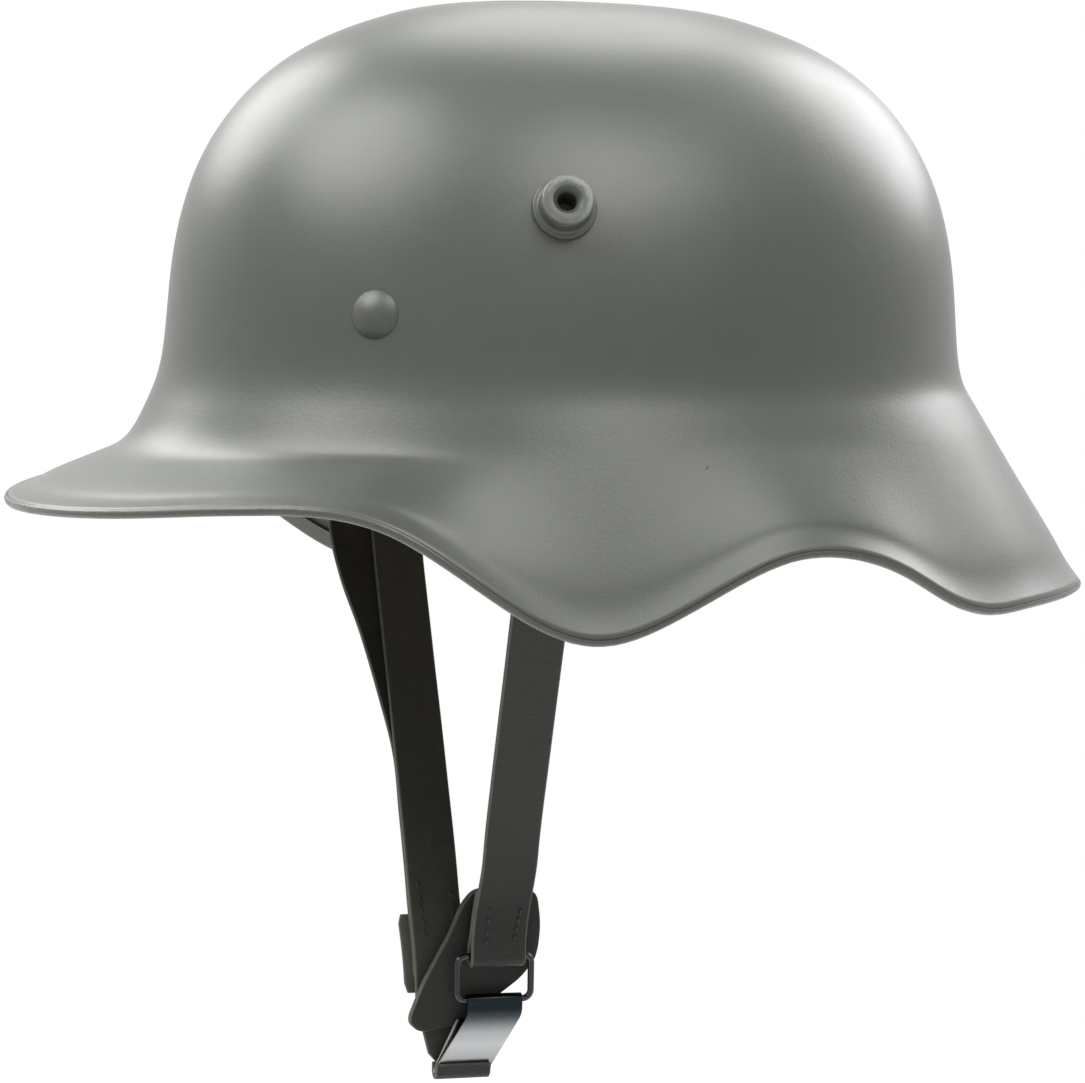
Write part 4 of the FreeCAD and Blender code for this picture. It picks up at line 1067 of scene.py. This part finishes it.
def bored(obj, centre, axis, radius):
    """Cuts a round hole through a piece, with its mesh made final."""
    outline = [(0, -BORE_REACH), (radius, -BORE_REACH), (radius, BORE_REACH), (0, BORE_REACH)]
    points, faces = lathe(outline, centre, axis, 24)
    cutter = bpy.data.meshes.new("cutter")
    cutter.from_pydata([tuple(p * MM) for p in points], [], faces)
    tool = bpy.data.objects.new("cutter", cutter)
    bpy.context.scene.collection.objects.link(tool)
    cut = obj.modifiers.new("hole", "BOOLEAN")
    cut.object, cut.operation, cut.solver = tool, "DIFFERENCE", "EXACT"
    made = bpy.data.meshes.new_from_object(obj.evaluated_get(bpy.context.evaluated_depsgraph_get()))
    obj.modifiers.clear()
    obj.data = made
    bpy.data.objects.remove(tool)


def build_pads(looks, sizes):
    """Liner leathers: a strip along the band for each pad, and its pierced fingers over the head."""
    for name, middle in PADS.items():
        rows = [(middle, PAD_HALF * (PAD_END if z in PAD_LEVELS[::9] else 1.0), strip_place(z))
                for z in PAD_LEVELS]
        points, faces = sheet_rows(rows, 46, LEATHER)
        piece("pad_strip_" + name, points, faces, "helmet", ["pad_" + name],
              [liner_leather(looks)], sharp=60.0)
        for k, turn in enumerate((-FINGER_TURN, FINGER_TURN)):
            rows = []
            for i in range(FINGER_ROWS + 1):
                share = FINGER_END * i / FINGER_ROWS
                width = np.interp(share, FINGER_RISES, FINGER_WIDTHS)
                tip = max(0.0, (share - FINGER_TIP) / (FINGER_END + FINGER_BLUNT - FINGER_TIP))
                width *= math.sqrt(max(0.0, 1 - tip ** 2))
                width += FINGER_ROOT * math.exp(-share / FINGER_ROOT_REACH)
                rows.append((middle + turn, FINGER_TURN * width, finger_place(share)))
            points, faces = sheet_rows(rows, 14, LEATHER - 0.06)
            finger = piece("pad_finger_%s_%d" % (name, k + 1), points, faces, "helmet", [],
                           [liner_leather(looks)], sharp=60.0)
            at = over_head(middle + turn, LACE_SHARE)
            under = over_head(middle + turn, LACE_SHARE, 4.0)
            bored(finger, at, at - under, sizes.lace_hole / MM)
            finger.data.set_sharp_from_angle(angle=math.radians(50))


def cushion_place(angle, height, stand):
    """Point of a cushion at an angle and a height, standing off the line of the leather."""
    waist, out = plan(angle)
    base = waist - out * LEATHER_INSET
    lean = 1 - math.sqrt(1 - (height / HEAD_RISE) ** 2)
    return (base + (np.array([0, CROWN_BACK, 0]) - base) * lean + out * stand
            + UP * (BAND_TOP + LEATHER + CUSHION_GAP + height))


def cushion_span(rise):
    """Half the span of a cushion at a share of its height, in degrees."""
    return CUSHION_HALF * (1 - CUSHION_TAPER * abs(2 * rise - 1) ** 3)


def seam_line(middle):
    """Closed line of the seam round a cushion: along its foot, up one side, back along its top and down."""
    along = [between(-1, 1, i / 60) * CUSHION_HALF * SEAM_HALF for i in range(61)]
    rises = [i / 10 for i in range(1, 10)]
    spots = [(turn, 0.0) for turn in along]
    spots += [(cushion_span(rise), rise) for rise in rises]
    spots += [(turn, 1.0) for turn in along[::-1]]
    spots += [(-cushion_span(rise), rise) for rise in rises[::-1]]
    return [cushion_place(middle + turn, CUSHION_FOOT + CUSHION_RISE * rise, CUSHION_STAND)
            for turn, rise in spots]


def build_cushions(looks, sizes):
    """Stuffed cloth cushions behind the fingers, blown up a little by cloth pressure, with a sewn seam."""
    rows, across = 22, 44
    for name, middle in PADS.items():
        points = []
        for i in range(rows + 1):
            rise = i / rows
            full = max(LEAST_PUFF, 1 - abs(2 * rise - 1) ** 4) ** 0.5
            for face in (1, -1):
                for j in range(across + 1):
                    s = between(-1, 1, j / across) * face
                    puff = CUSHION_PUFF * full * max(LEAST_PUFF, 1 - abs(s) ** 6) ** 0.5
                    points.append(cushion_place(middle + s * cushion_span(rise),
                                                CUSHION_FOOT + CUSHION_RISE * rise,
                                                CUSHION_STAND + face * puff))
        cushion = piece("cushion_sewn_" + name, points, capped(rows + 1, 2 * (across + 1)), "helmet",
                        ["cushion_" + name], [cushion_cloth(looks)], sharp=80.0)
        inflate(cushion, CUSHION_SWELL * MM)
        seam = seam_line(middle)
        points = []
        for i, here in enumerate(seam):
            ahead = unit(seam[(i + 1) % len(seam)] - seam[i - 1])
            side = unit(np.cross(ahead, [here[0], here[1] - CROWN_BACK, SEAM_BEND]))
            out = np.cross(side, ahead)
            for j in range(SEAM_SIDES):
                a = 2 * math.pi * j / SEAM_SIDES
                points.append(here + (out * math.cos(a) + side * math.sin(a)) * SEAM_RADIUS)
        piece("cushion_seam_" + name, points, ring_faces(len(seam), SEAM_SIDES, closed=True), "helmet", [],
              [cushion_cloth(looks)], sharp=80.0)


def inflate(obj, most):
    """Blows a closed cloth up for a few frames and keeps the result, no point moved further than most."""
    before = np.array([v.co for v in obj.data.vertices])
    cloth = obj.modifiers.new("stuffing", "CLOTH")
    cloth.settings.use_pressure = True
    cloth.settings.uniform_pressure_force = 4.0
    cloth.settings.effector_weights.gravity = 0.0
    cloth.settings.mass = 0.2
    scene = bpy.context.scene
    for number in range(1, 21):
        scene.frame_set(number)
    blown = obj.evaluated_get(bpy.context.evaluated_depsgraph_get()).to_mesh()
    after = np.array([v.co for v in blown.vertices])
    obj.modifiers.clear()
    scene.frame_set(1)
    move = after - before
    far = np.linalg.norm(move, axis=1, keepdims=True)
    move *= np.minimum(1.0, most / np.maximum(far, 1e-9))
    obj.data.vertices.foreach_set("co", (before + move).astype(np.float32).ravel())
    obj.data.update()


def build_bails(looks):
    """Wire loops that the chinstrap hangs from."""
    tilt = math.radians(BAIL_TILT)
    path = []
    for p in loop_path(BAIL_WIDTH, BAIL_DROP, BAIL_CORNER):
        x, z = p[2] * math.sin(tilt), p[2] * math.cos(tilt)
        path.append(np.array([EYE_X + x, BAIL_Y + p[1], EYE_Z + z]))
    across = np.array([math.cos(tilt), 0.0, -math.sin(tilt)])
    for side, sign in SIDES:
        points, faces = wire(path, BAIL_WIRE, across)
        piece("bail_wire_" + side, [p * [sign, 1, 1] for p in points], faces, "ring_" + side,
              ["bail_" + side], [liner_steel(looks)])


def build_straps(looks, sizes):
    """Both halves of the chinstrap, with their folds, turned-back ends and raw edges."""
    materials = [strap_leather(looks), strap_edge(looks), strap_back(looks)]
    width = sizes.strap_width / MM
    points, faces, flags = ribbon(near_strap_path(), width, STRAP, wander=0.5, seed=1.0, crown=0.06)
    piece("strap_near_leather", points, faces, "near_strap", ["strap_left"], materials,
          sharp=70.0, face_materials=flags)
    points, faces, flags = ribbon(far_strap_path(), width - FAR_WEAR, STRAP, wander=0.5, seed=7.0, crown=0.06,
                                  corners=3.0)
    piece("strap_far_leather", [p * [-1, 1, 1] for p in points], faces, "far_strap", ["strap_right"],
          materials, sharp=70.0, face_materials=flags)
    points, faces, flags = ribbon(tab_end_path(), width, TAB_END, wander=0.4, seed=3.0, corners=0.8)
    piece("tab_end_leather", [p * [-1, 1, 1] for p in points], faces, "far_strap", [],
          [strap_edge(looks)] * 3, sharp=70.0, face_materials=flags)


def stitch_row(run, start, end, count, face, radius):
    """Stitches in a row on one face of a strap's run, between two (y, z) places."""
    depths = [p[2] for p in run][::-1]
    across = [p[0] for p in run][::-1]
    parts = []
    for i in range(count):
        y, z = (between(a, b, (i + 0.5) / count) for a, b in zip(start, end))
        x = np.interp(z, depths, across)
        lean = (np.interp(z + 1, depths, across) - np.interp(z - 1, depths, across)) / 2
        along = unit(np.array([lean, (start[0] - end[0]) / (start[1] - end[1]), 1.0]))
        normal = unit(np.array([1.0, 0.0, -lean])) * face
        middle = np.array([x, y, z]) + normal * (STRAP / 2 + STITCH_STAND)
        half = abs(end[1] - start[1]) / count * STITCH_SHARE
        low = [(share * radius, inset - half) for share, inset in STITCH_END]
        high = [(r, -h) for r, h in low[::-1]]
        parts.append(lathe(low + [(radius, 0)] + high, middle, along, 10))
    return parts


def build_stitches(looks, sizes):
    """Sewing through the folded end of the near strap and the end of the far one."""
    sewn = (("near", near_strap_run()[1], NEAR_STITCHES, 4, 1),
            ("far", far_strap_run()[2], FAR_STITCHES, 5, -1))
    for side, run, rows, count, sign in sewn:
        points, faces = join([stitch for start, end in rows
                              for stitch in stitch_row(run, start, end, count, sign, sizes.stitch / MM)])
        piece("stitches_" + side, [p * [sign, 1, 1] for p in points], faces, side + "_strap", [],
              [thread(looks)], sharp=80.0)


def flap(name, x, node, looks, curl):
    """One leather of the backing flap: smooth outline, rounded cut edge and a slight curl."""
    corners = [(FLAP_FRONT_Y + FLAP_WIDTH * a, FLAP_TOP_Z - FLAP_LENGTH * b) for a, b in FLAP_OUTLINE]
    outline = rounded(corners + corners[:2], FLAP_CORNER, 5)[1:-1]
    middle = np.mean(outline, axis=0)
    half = FLAP_SHEET / 2
    rings = FLAP_RINGS + [(size, -depth) for size, depth in FLAP_RINGS[-2::-1]]
    points, flags = [], []
    for size, depth in rings:
        for y, z in outline:
            py, pz = between(middle[0], y, size), between(middle[1], z, size)
            ripple = FLAP_RIPPLE * noise.noise(Vector((py * 0.12, pz * 0.12, x)))
            lift = curl * ((pz - middle[1]) / CURL_REACH) ** 2 + ripple
            points.append(np.array([x + half + half * depth + lift, py, pz]))
    for (_, before), (_, after) in zip(rings, rings[1:]):
        flags += [1 if min(abs(before), abs(after)) < 1 else 0] * len(outline)
    piece(name, points, capped(len(rings), len(outline)), "near_strap", [node],
          [strap_leather(looks), strap_edge(looks)], sharp=70.0, face_materials=flags + [0, 0])


def build_flap(looks):
    """Both leathers of the flap behind the frame."""
    flap("flap_near_leather", FLAP_X, "flap_front", looks, FLAP_CURL)
    flap("flap_far_leather", FLAP_X - FLAP_SHEET - LAYER_GAP, "flap_back", looks, FLAP_BACK_CURL)


def build_frame():
    """Black wire frame in the fold of the near strap."""
    path = [p + [FRAME_X, FRAME_Y, FRAME_BAR_Z] for p in loop_path(FRAME_WIDTH, FRAME_HEIGHT, FRAME_CORNER)]
    points, faces = wire(path, FRAME_WIRE, np.array([1.0, 0.0, 0.0]))
    piece("frame_wire", points, faces, "frame", ["release_frame"], [frame_black()])


def build_hook(looks):
    """Sheet hook on the lower bar of the frame, and the leather loop round its foot."""
    bar = np.array([FRAME_X, FRAME_Y, FRAME_BAR_Z - FRAME_HEIGHT])
    radius = FRAME_WIRE + HOOK_EYE_GAP
    half = HOOK_WIDTH / 2
    tube = [(radius, -half), (radius, half), (radius + HOOK_SHEET, half), (radius + HOOK_SHEET, -half)]
    eye = lathe(rounded(tube + tube[:2], HOOK_EYE_EDGE, 2)[1:-1], bar, (0, 1, 0), 40, closed=True)
    edge = bar + [radius + HOOK_SHEET / 2, 0, 0]
    foot = np.array(HOOK_FOOT) + [0, 0, HOOK_BEND + HOOK_SHEET / 2]
    turn = around(foot, HOOK_BEND, 0, -180, 12)
    back = between(bar, foot, HOOK_BACK_SHARE)
    back[0] = HOOK_BACK_X
    bends = rounded([tuple(edge), tuple(edge - UP * HOOK_STRAIGHT), tuple(turn[0])], HOOK_CORNER, 8)
    leaf = [np.array(p) for p in bends[:-1]]
    down = [between(leaf[-1], turn[0], t) for t in QUARTERS[:-1]]
    up = [between(turn[-1], back, t) for t in QUARTERS]
    points, faces, _ = ribbon(leaf + down + turn + up, HOOK_WIDTH, HOOK_SHEET, edge=0.2)
    points, faces = join([eye, (points, faces)])
    hook = piece("hook_blued", points, faces, "hook", ["release_hook"], [hook_blue(looks)],
                 sharp=40.0)
    # share of bright steel by height: rubbed steel at the foot and a painted reflection over the lower plane,
    # dark blue above it
    heights = [turn[0][2] + rise for rise, _ in FOOT_WEAR_AND_REFLECTION] + [leaf[-1][2] + rise for rise, _ in TOP_WEAR_AND_REFLECTION]
    rubbed = [share for _, share in FOOT_WEAR_AND_REFLECTION + TOP_WEAR_AND_REFLECTION]
    edge_attribute(hook, [np.interp(p[2], heights, rubbed) for p in points])
    reach = HOOK_BEND + HOOK_SHEET / 2 + SHOE_GAP + SHOE / 2
    turn = around(foot, reach, 0, -180, 14)
    near = turn[0] + UP * SHOE_RISE + [SHOE_RISE * SHOE_FLARE, 0, 0]
    path = [near, (near + turn[0]) / 2] + turn + [turn[-1] + UP * SHOE_RISE]
    points, faces, flags = ribbon(path, HOOK_WIDTH, SHOE)
    piece("hook_shoe_leather", points, faces, "hook", ["hook_foot_loop"],
          [strap_leather(looks), strap_edge(looks), strap_back(looks)], sharp=70.0, face_materials=flags)


# Stage

VIEW_AXES = ((0.27832, 0.96032, 0.01793), (-0.08721, 0.00668, 0.99617), (0.95652, -0.27882, 0.08561))
VIEW_FROM, VIEW_LENS = (1.02651, -0.29477, 0.04281), 126.61
VIEW_SENSOR, VIEW_CLIP = 36.0, (0.05, 60.0)
FLOOR_GAP, FLOOR_HALF, FLOOR_PALE = 0.25, 9.0, 0.86
FLOOR_FADE = (0.45, 1.3)    # from the floor's own shade to plain white, in metres from the middle
LAMP_DISTANCE = 1.7
# Angle round from the front towards the left side, height angle, width in metres, and light on the object
LAMPS = {"front": (8, 50, 1.3, 1.2), "front_far": (-55, 34, 1.1, 0.72), "rear_far": (-153, 32, 1.2, 0.85),
         "near": (108, 52, 1.1, 0.66), "far": (-112, 54, 1.0, 0.35)}


def shows_white(tree):
    """1 for rays from the camera and from gloss and glass, 0 for the rays that light the object."""
    rays = tree.nodes.new("ShaderNodeLightPath").outputs
    mirrored = math_node(tree, "MAXIMUM", rays["Is Glossy Ray"], rays["Is Transmission Ray"])
    return math_node(tree, "MAXIMUM", rays["Is Camera Ray"], mirrored)


def build_stage(looks):
    """White floor and surround, the soft lamps and the camera."""
    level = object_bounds()[0].z - FLOOR_GAP
    mesh = bpy.data.meshes.new("floor")
    corners = [(FLOOR_HALF * x, FLOOR_HALF * y, level) for x, y in ((-1, -1), (1, -1), (1, 1), (-1, 1))]
    mesh.from_pydata(corners, [], [(0, 1, 2, 3)])
    floor = bpy.data.objects.new("floor", mesh)
    bpy.context.scene.collection.objects.link(floor)
    floor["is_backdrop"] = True
    material = bpy.data.materials.new("floor_white")
    material.use_nodes = True
    tree = material.node_tree
    tree.nodes.remove(tree.nodes["Principled BSDF"])
    where = tree.nodes.new("ShaderNodeTexCoord").outputs["Object"]
    flat = add(tree, "ShaderNodeVectorMath", {0: where, 1: (1, 1, 0)}, operation="MULTIPLY").outputs[0]
    away = add(tree, "ShaderNodeVectorMath", {0: flat}, operation="LENGTH").outputs["Value"]
    white = add(tree, "ShaderNodeEmission", {"Color": (1, 1, 1, 1), "Strength": 1.0})
    matt = add(tree, "ShaderNodeBsdfDiffuse", {"Color": (FLOOR_PALE, FLOOR_PALE, FLOOR_PALE, 1)})
    blend = add(tree, "ShaderNodeMixShader", {0: remap(tree, away, *FLOOR_FADE), 1: matt.outputs[0],
                                              2: white.outputs[0]})
    mixed = add(tree, "ShaderNodeMixShader", {0: shows_white(tree), 1: matt.outputs[0], 2: blend.outputs[0]})
    tree.links.new(mixed.outputs[0], tree.nodes["Material Output"].inputs["Surface"])
    mesh.materials.append(material)

    world = bpy.data.worlds.new("white_room")
    world.use_nodes = True
    bpy.context.scene.world = world
    tree = world.node_tree
    background = tree.nodes["Background"]
    background.inputs["Color"].default_value = (1, 1, 1, 1)
    strength = remap(tree, shows_white(tree), 0.0, 1.0, looks.room_light, 1.0)
    tree.links.new(strength, background.inputs["Strength"])

    for name, (turn, rise, size, light) in LAMPS.items():
        lamp = bpy.data.lights.new("lamp_" + name, "AREA")
        lamp.shape, lamp.size = "DISK", size
        lamp.energy = light * looks.lamp_light * (math.pi * LAMP_DISTANCE) ** 2
        a, b = math.radians(turn), math.radians(rise)
        way = Vector((math.sin(a) * math.cos(b), -math.cos(a) * math.cos(b), math.sin(b)))
        obj = bpy.data.objects.new("lamp_" + name, lamp)
        obj.location = way * LAMP_DISTANCE
        obj.rotation_euler = way.to_track_quat("Z", "Y").to_euler()
        bpy.context.scene.collection.objects.link(obj)

    camera = bpy.data.cameras.new("camera")
    camera.sensor_width, camera.lens = VIEW_SENSOR, VIEW_LENS
    camera.clip_start, camera.clip_end = VIEW_CLIP
    view = bpy.data.objects.new("camera", camera)
    right, up, back = (Vector(axis).normalized() for axis in VIEW_AXES)
    turn = Matrix((right, up, back)).transposed().to_4x4()
    view.matrix_world = Matrix.Translation(Vector(VIEW_FROM)) @ turn
    bpy.context.scene.collection.objects.link(view)
    bpy.context.scene.camera = view
    bpy.context.scene.view_settings.view_transform = "Standard"


# Add-on

def colour(name, default, description):
    return FloatVectorProperty(name=name, description=description, subtype="COLOR", size=3, min=0.0, max=1.0,
                               default=default)


def length(name, default, description):
    """Length property kept in metres, from a default in millimetres."""
    return FloatProperty(name=name, description=description, unit="LENGTH", default=default * MM, min=0.0,
                         precision=5)


class HelmetSizes(bpy.types.PropertyGroup):
    """Sizes of the helmet's visible pieces that can be changed without moving a joint."""
    bead: length("Bead radius", BEAD_RADIUS, "Radius of the round bead along the rim")
    groove: length("Bead groove", GROOVE, "Depth of the groove above the bead")
    lace_hole: length("Lace hole", LACE_HOLE, "Radius of the hole in each liner finger")
    strap_width: length("Strap width", STRAP_WIDTH, "Width of both halves of the chinstrap")
    stitch: length("Stitch radius", 0.42, "Radius of one stitch at its middle")
    broken_edge: length("Broken edge", 0.12, "Width of the broken edges of the metal fittings")
    stuffing: FloatProperty(name="Stuffing", description="How full the cushions are", default=0.7, min=0.0,
                            max=1.0, subtype="FACTOR")


class HelmetLooks(bpy.types.PropertyGroup):
    """Colours and lights of the helmet."""
    paint: colour("Paint", (0.052, 0.057, 0.047), "Field green paint of the shell, lugs and rivets")
    paint_roughness: FloatProperty(name="Paint roughness", description="How matt the paint is", default=0.37,
                                   min=0.0, max=1.0, subtype="FACTOR")
    steel: colour("Steel", (0.36, 0.35, 0.33), "Bare steel of the liner fittings")
    liner: colour("Liner leather", (0.30, 0.19, 0.11), "Leather that rests on the head")
    cushion: colour("Cushion cloth", (0.50, 0.44, 0.33), "Cloth of the stuffed cushions")
    strap: colour("Strap leather", (0.0175, 0.0175, 0.0155), "Black leather of the chinstrap")
    strap_back: colour("Strap back", (0.035, 0.0345, 0.028), "Flesh side of the chinstrap's leather")
    strap_edge: colour("Strap edge", (0.11, 0.11, 0.088), "Raw cut edges of the chinstrap")
    hook: colour("Hook", (0.02, 0.028, 0.034), "Blued sheet of the hook, at its bends")
    # bright steel of the hook's lower plane: rubbed steel and a painted reflection
    hook_wear_and_reflection: colour("Rubbed hook", (0.34, 0.345, 0.35), "Bright steel where the hook is rubbed")
    room_light: FloatProperty(name="Room light", description="Even light from the white surround",
                              default=0.25, min=0.0, max=2.0)
    lamp_light: FloatProperty(name="Lamp light", description="Strength of the soft lamps", default=1.0,
                              min=0.0, max=10.0)


class HELMET_OT_shell(bpy.types.Operator):
    """Builds the painted skin of the shell"""
    bl_idname = "helmet.shell"
    bl_label = "Shell"

    def execute(self, context):
        build_shell(context.scene.helmet_looks, context.scene.helmet_sizes)
        return {"FINISHED"}


class HELMET_OT_lugs(bpy.types.Operator):
    """Builds the stepped vent lugs on both sides"""
    bl_idname = "helmet.lugs"
    bl_label = "Vent Lugs"

    def execute(self, context):
        build_lugs(context.scene.helmet_looks)
        return {"FINISHED"}


class HELMET_OT_rivets(bpy.types.Operator):
    """Builds the domed rivets that hold the liner"""
    bl_idname = "helmet.rivets"
    bl_label = "Liner Rivets"

    def execute(self, context):
        build_rivets(context.scene.helmet_looks)
        return {"FINISHED"}


class HELMET_OT_fittings(bpy.types.Operator):
    """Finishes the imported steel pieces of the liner"""
    bl_idname = "helmet.fittings"
    bl_label = "Metal Fittings"

    def execute(self, context):
        build_metal_fittings(context.scene.helmet_looks, context.scene.helmet_sizes)
        return {"FINISHED"}


class HELMET_OT_pads(bpy.types.Operator):
    """Builds the leather strips and fingers of the liner"""
    bl_idname = "helmet.pads"
    bl_label = "Liner Pads"

    def execute(self, context):
        build_pads(context.scene.helmet_looks, context.scene.helmet_sizes)
        return {"FINISHED"}


class HELMET_OT_cushions(bpy.types.Operator):
    """Builds the stuffed cushions behind the fingers"""
    bl_idname = "helmet.cushions"
    bl_label = "Cushions"

    def execute(self, context):
        build_cushions(context.scene.helmet_looks, context.scene.helmet_sizes)
        return {"FINISHED"}


class HELMET_OT_bails(bpy.types.Operator):
    """Builds the wire loops that carry the chinstrap"""
    bl_idname = "helmet.bails"
    bl_label = "Bails"

    def execute(self, context):
        build_bails(context.scene.helmet_looks)
        return {"FINISHED"}


class HELMET_OT_straps(bpy.types.Operator):
    """Builds both halves of the chinstrap"""
    bl_idname = "helmet.straps"
    bl_label = "Chinstrap"

    def execute(self, context):
        build_straps(context.scene.helmet_looks, context.scene.helmet_sizes)
        return {"FINISHED"}


class HELMET_OT_stitches(bpy.types.Operator):
    """Builds the sewing of the chinstrap"""
    bl_idname = "helmet.stitches"
    bl_label = "Stitches"

    def execute(self, context):
        build_stitches(context.scene.helmet_looks, context.scene.helmet_sizes)
        return {"FINISHED"}


class HELMET_OT_flap(bpy.types.Operator):
    """Builds both leathers of the backing flap"""
    bl_idname = "helmet.flap"
    bl_label = "Backing Flap"

    def execute(self, context):
        build_flap(context.scene.helmet_looks)
        return {"FINISHED"}


class HELMET_OT_release_frame(bpy.types.Operator):
    """Builds the wire frame of the quick release"""
    bl_idname = "helmet.release_frame"
    bl_label = "Release Frame"

    def execute(self, context):
        build_frame()
        return {"FINISHED"}


class HELMET_OT_release_hook(bpy.types.Operator):
    """Builds the sheet hook and its leather foot loop"""
    bl_idname = "helmet.release_hook"
    bl_label = "Release Hook"

    def execute(self, context):
        build_hook(context.scene.helmet_looks)
        return {"FINISHED"}


class HELMET_OT_stage(bpy.types.Operator):
    """Builds the floor, the lamps and the camera"""
    bl_idname = "helmet.stage"
    bl_label = "Stage"

    def execute(self, context):
        build_stage(context.scene.helmet_looks)
        return {"FINISHED"}


OPERATORS = [HELMET_OT_shell, HELMET_OT_lugs, HELMET_OT_rivets, HELMET_OT_fittings,
             HELMET_OT_pads, HELMET_OT_cushions, HELMET_OT_bails, HELMET_OT_straps,
             HELMET_OT_stitches, HELMET_OT_flap, HELMET_OT_release_frame, HELMET_OT_release_hook,
             HELMET_OT_stage]


class HELMET_PT_panel(bpy.types.Panel):
    """Lists the helmet's looks and the operators that build its pieces."""
    bl_label = "Steel Helmet"
    bl_idname = "HELMET_PT_panel"
    bl_space_type = "VIEW_3D"
    bl_region_type = "UI"
    bl_category = "Helmet"

    def draw(self, context):
        for group in (context.scene.helmet_sizes, context.scene.helmet_looks):
            for name in group.bl_rna.properties.keys():
                if name not in ("rna_type", "name"):
                    self.layout.prop(group, name)
        for made in OPERATORS:
            self.layout.operator(made.bl_idname)


CLASSES = [HelmetSizes, HelmetLooks, *OPERATORS, HELMET_PT_panel]


def register():
    for made in CLASSES:
        bpy.utils.register_class(made)
    bpy.types.Scene.helmet_sizes = PointerProperty(type=HelmetSizes)
    bpy.types.Scene.helmet_looks = PointerProperty(type=HelmetLooks)


def unregister():
    del bpy.types.Scene.helmet_looks
    del bpy.types.Scene.helmet_sizes
    for made in reversed(CLASSES):
        bpy.utils.unregister_class(made)


def main():
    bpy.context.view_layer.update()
    register()
    for made in OPERATORS:
        getattr(bpy.ops.helmet, made.bl_idname.split(".")[1])()


if __name__ == "__main__":
    main()
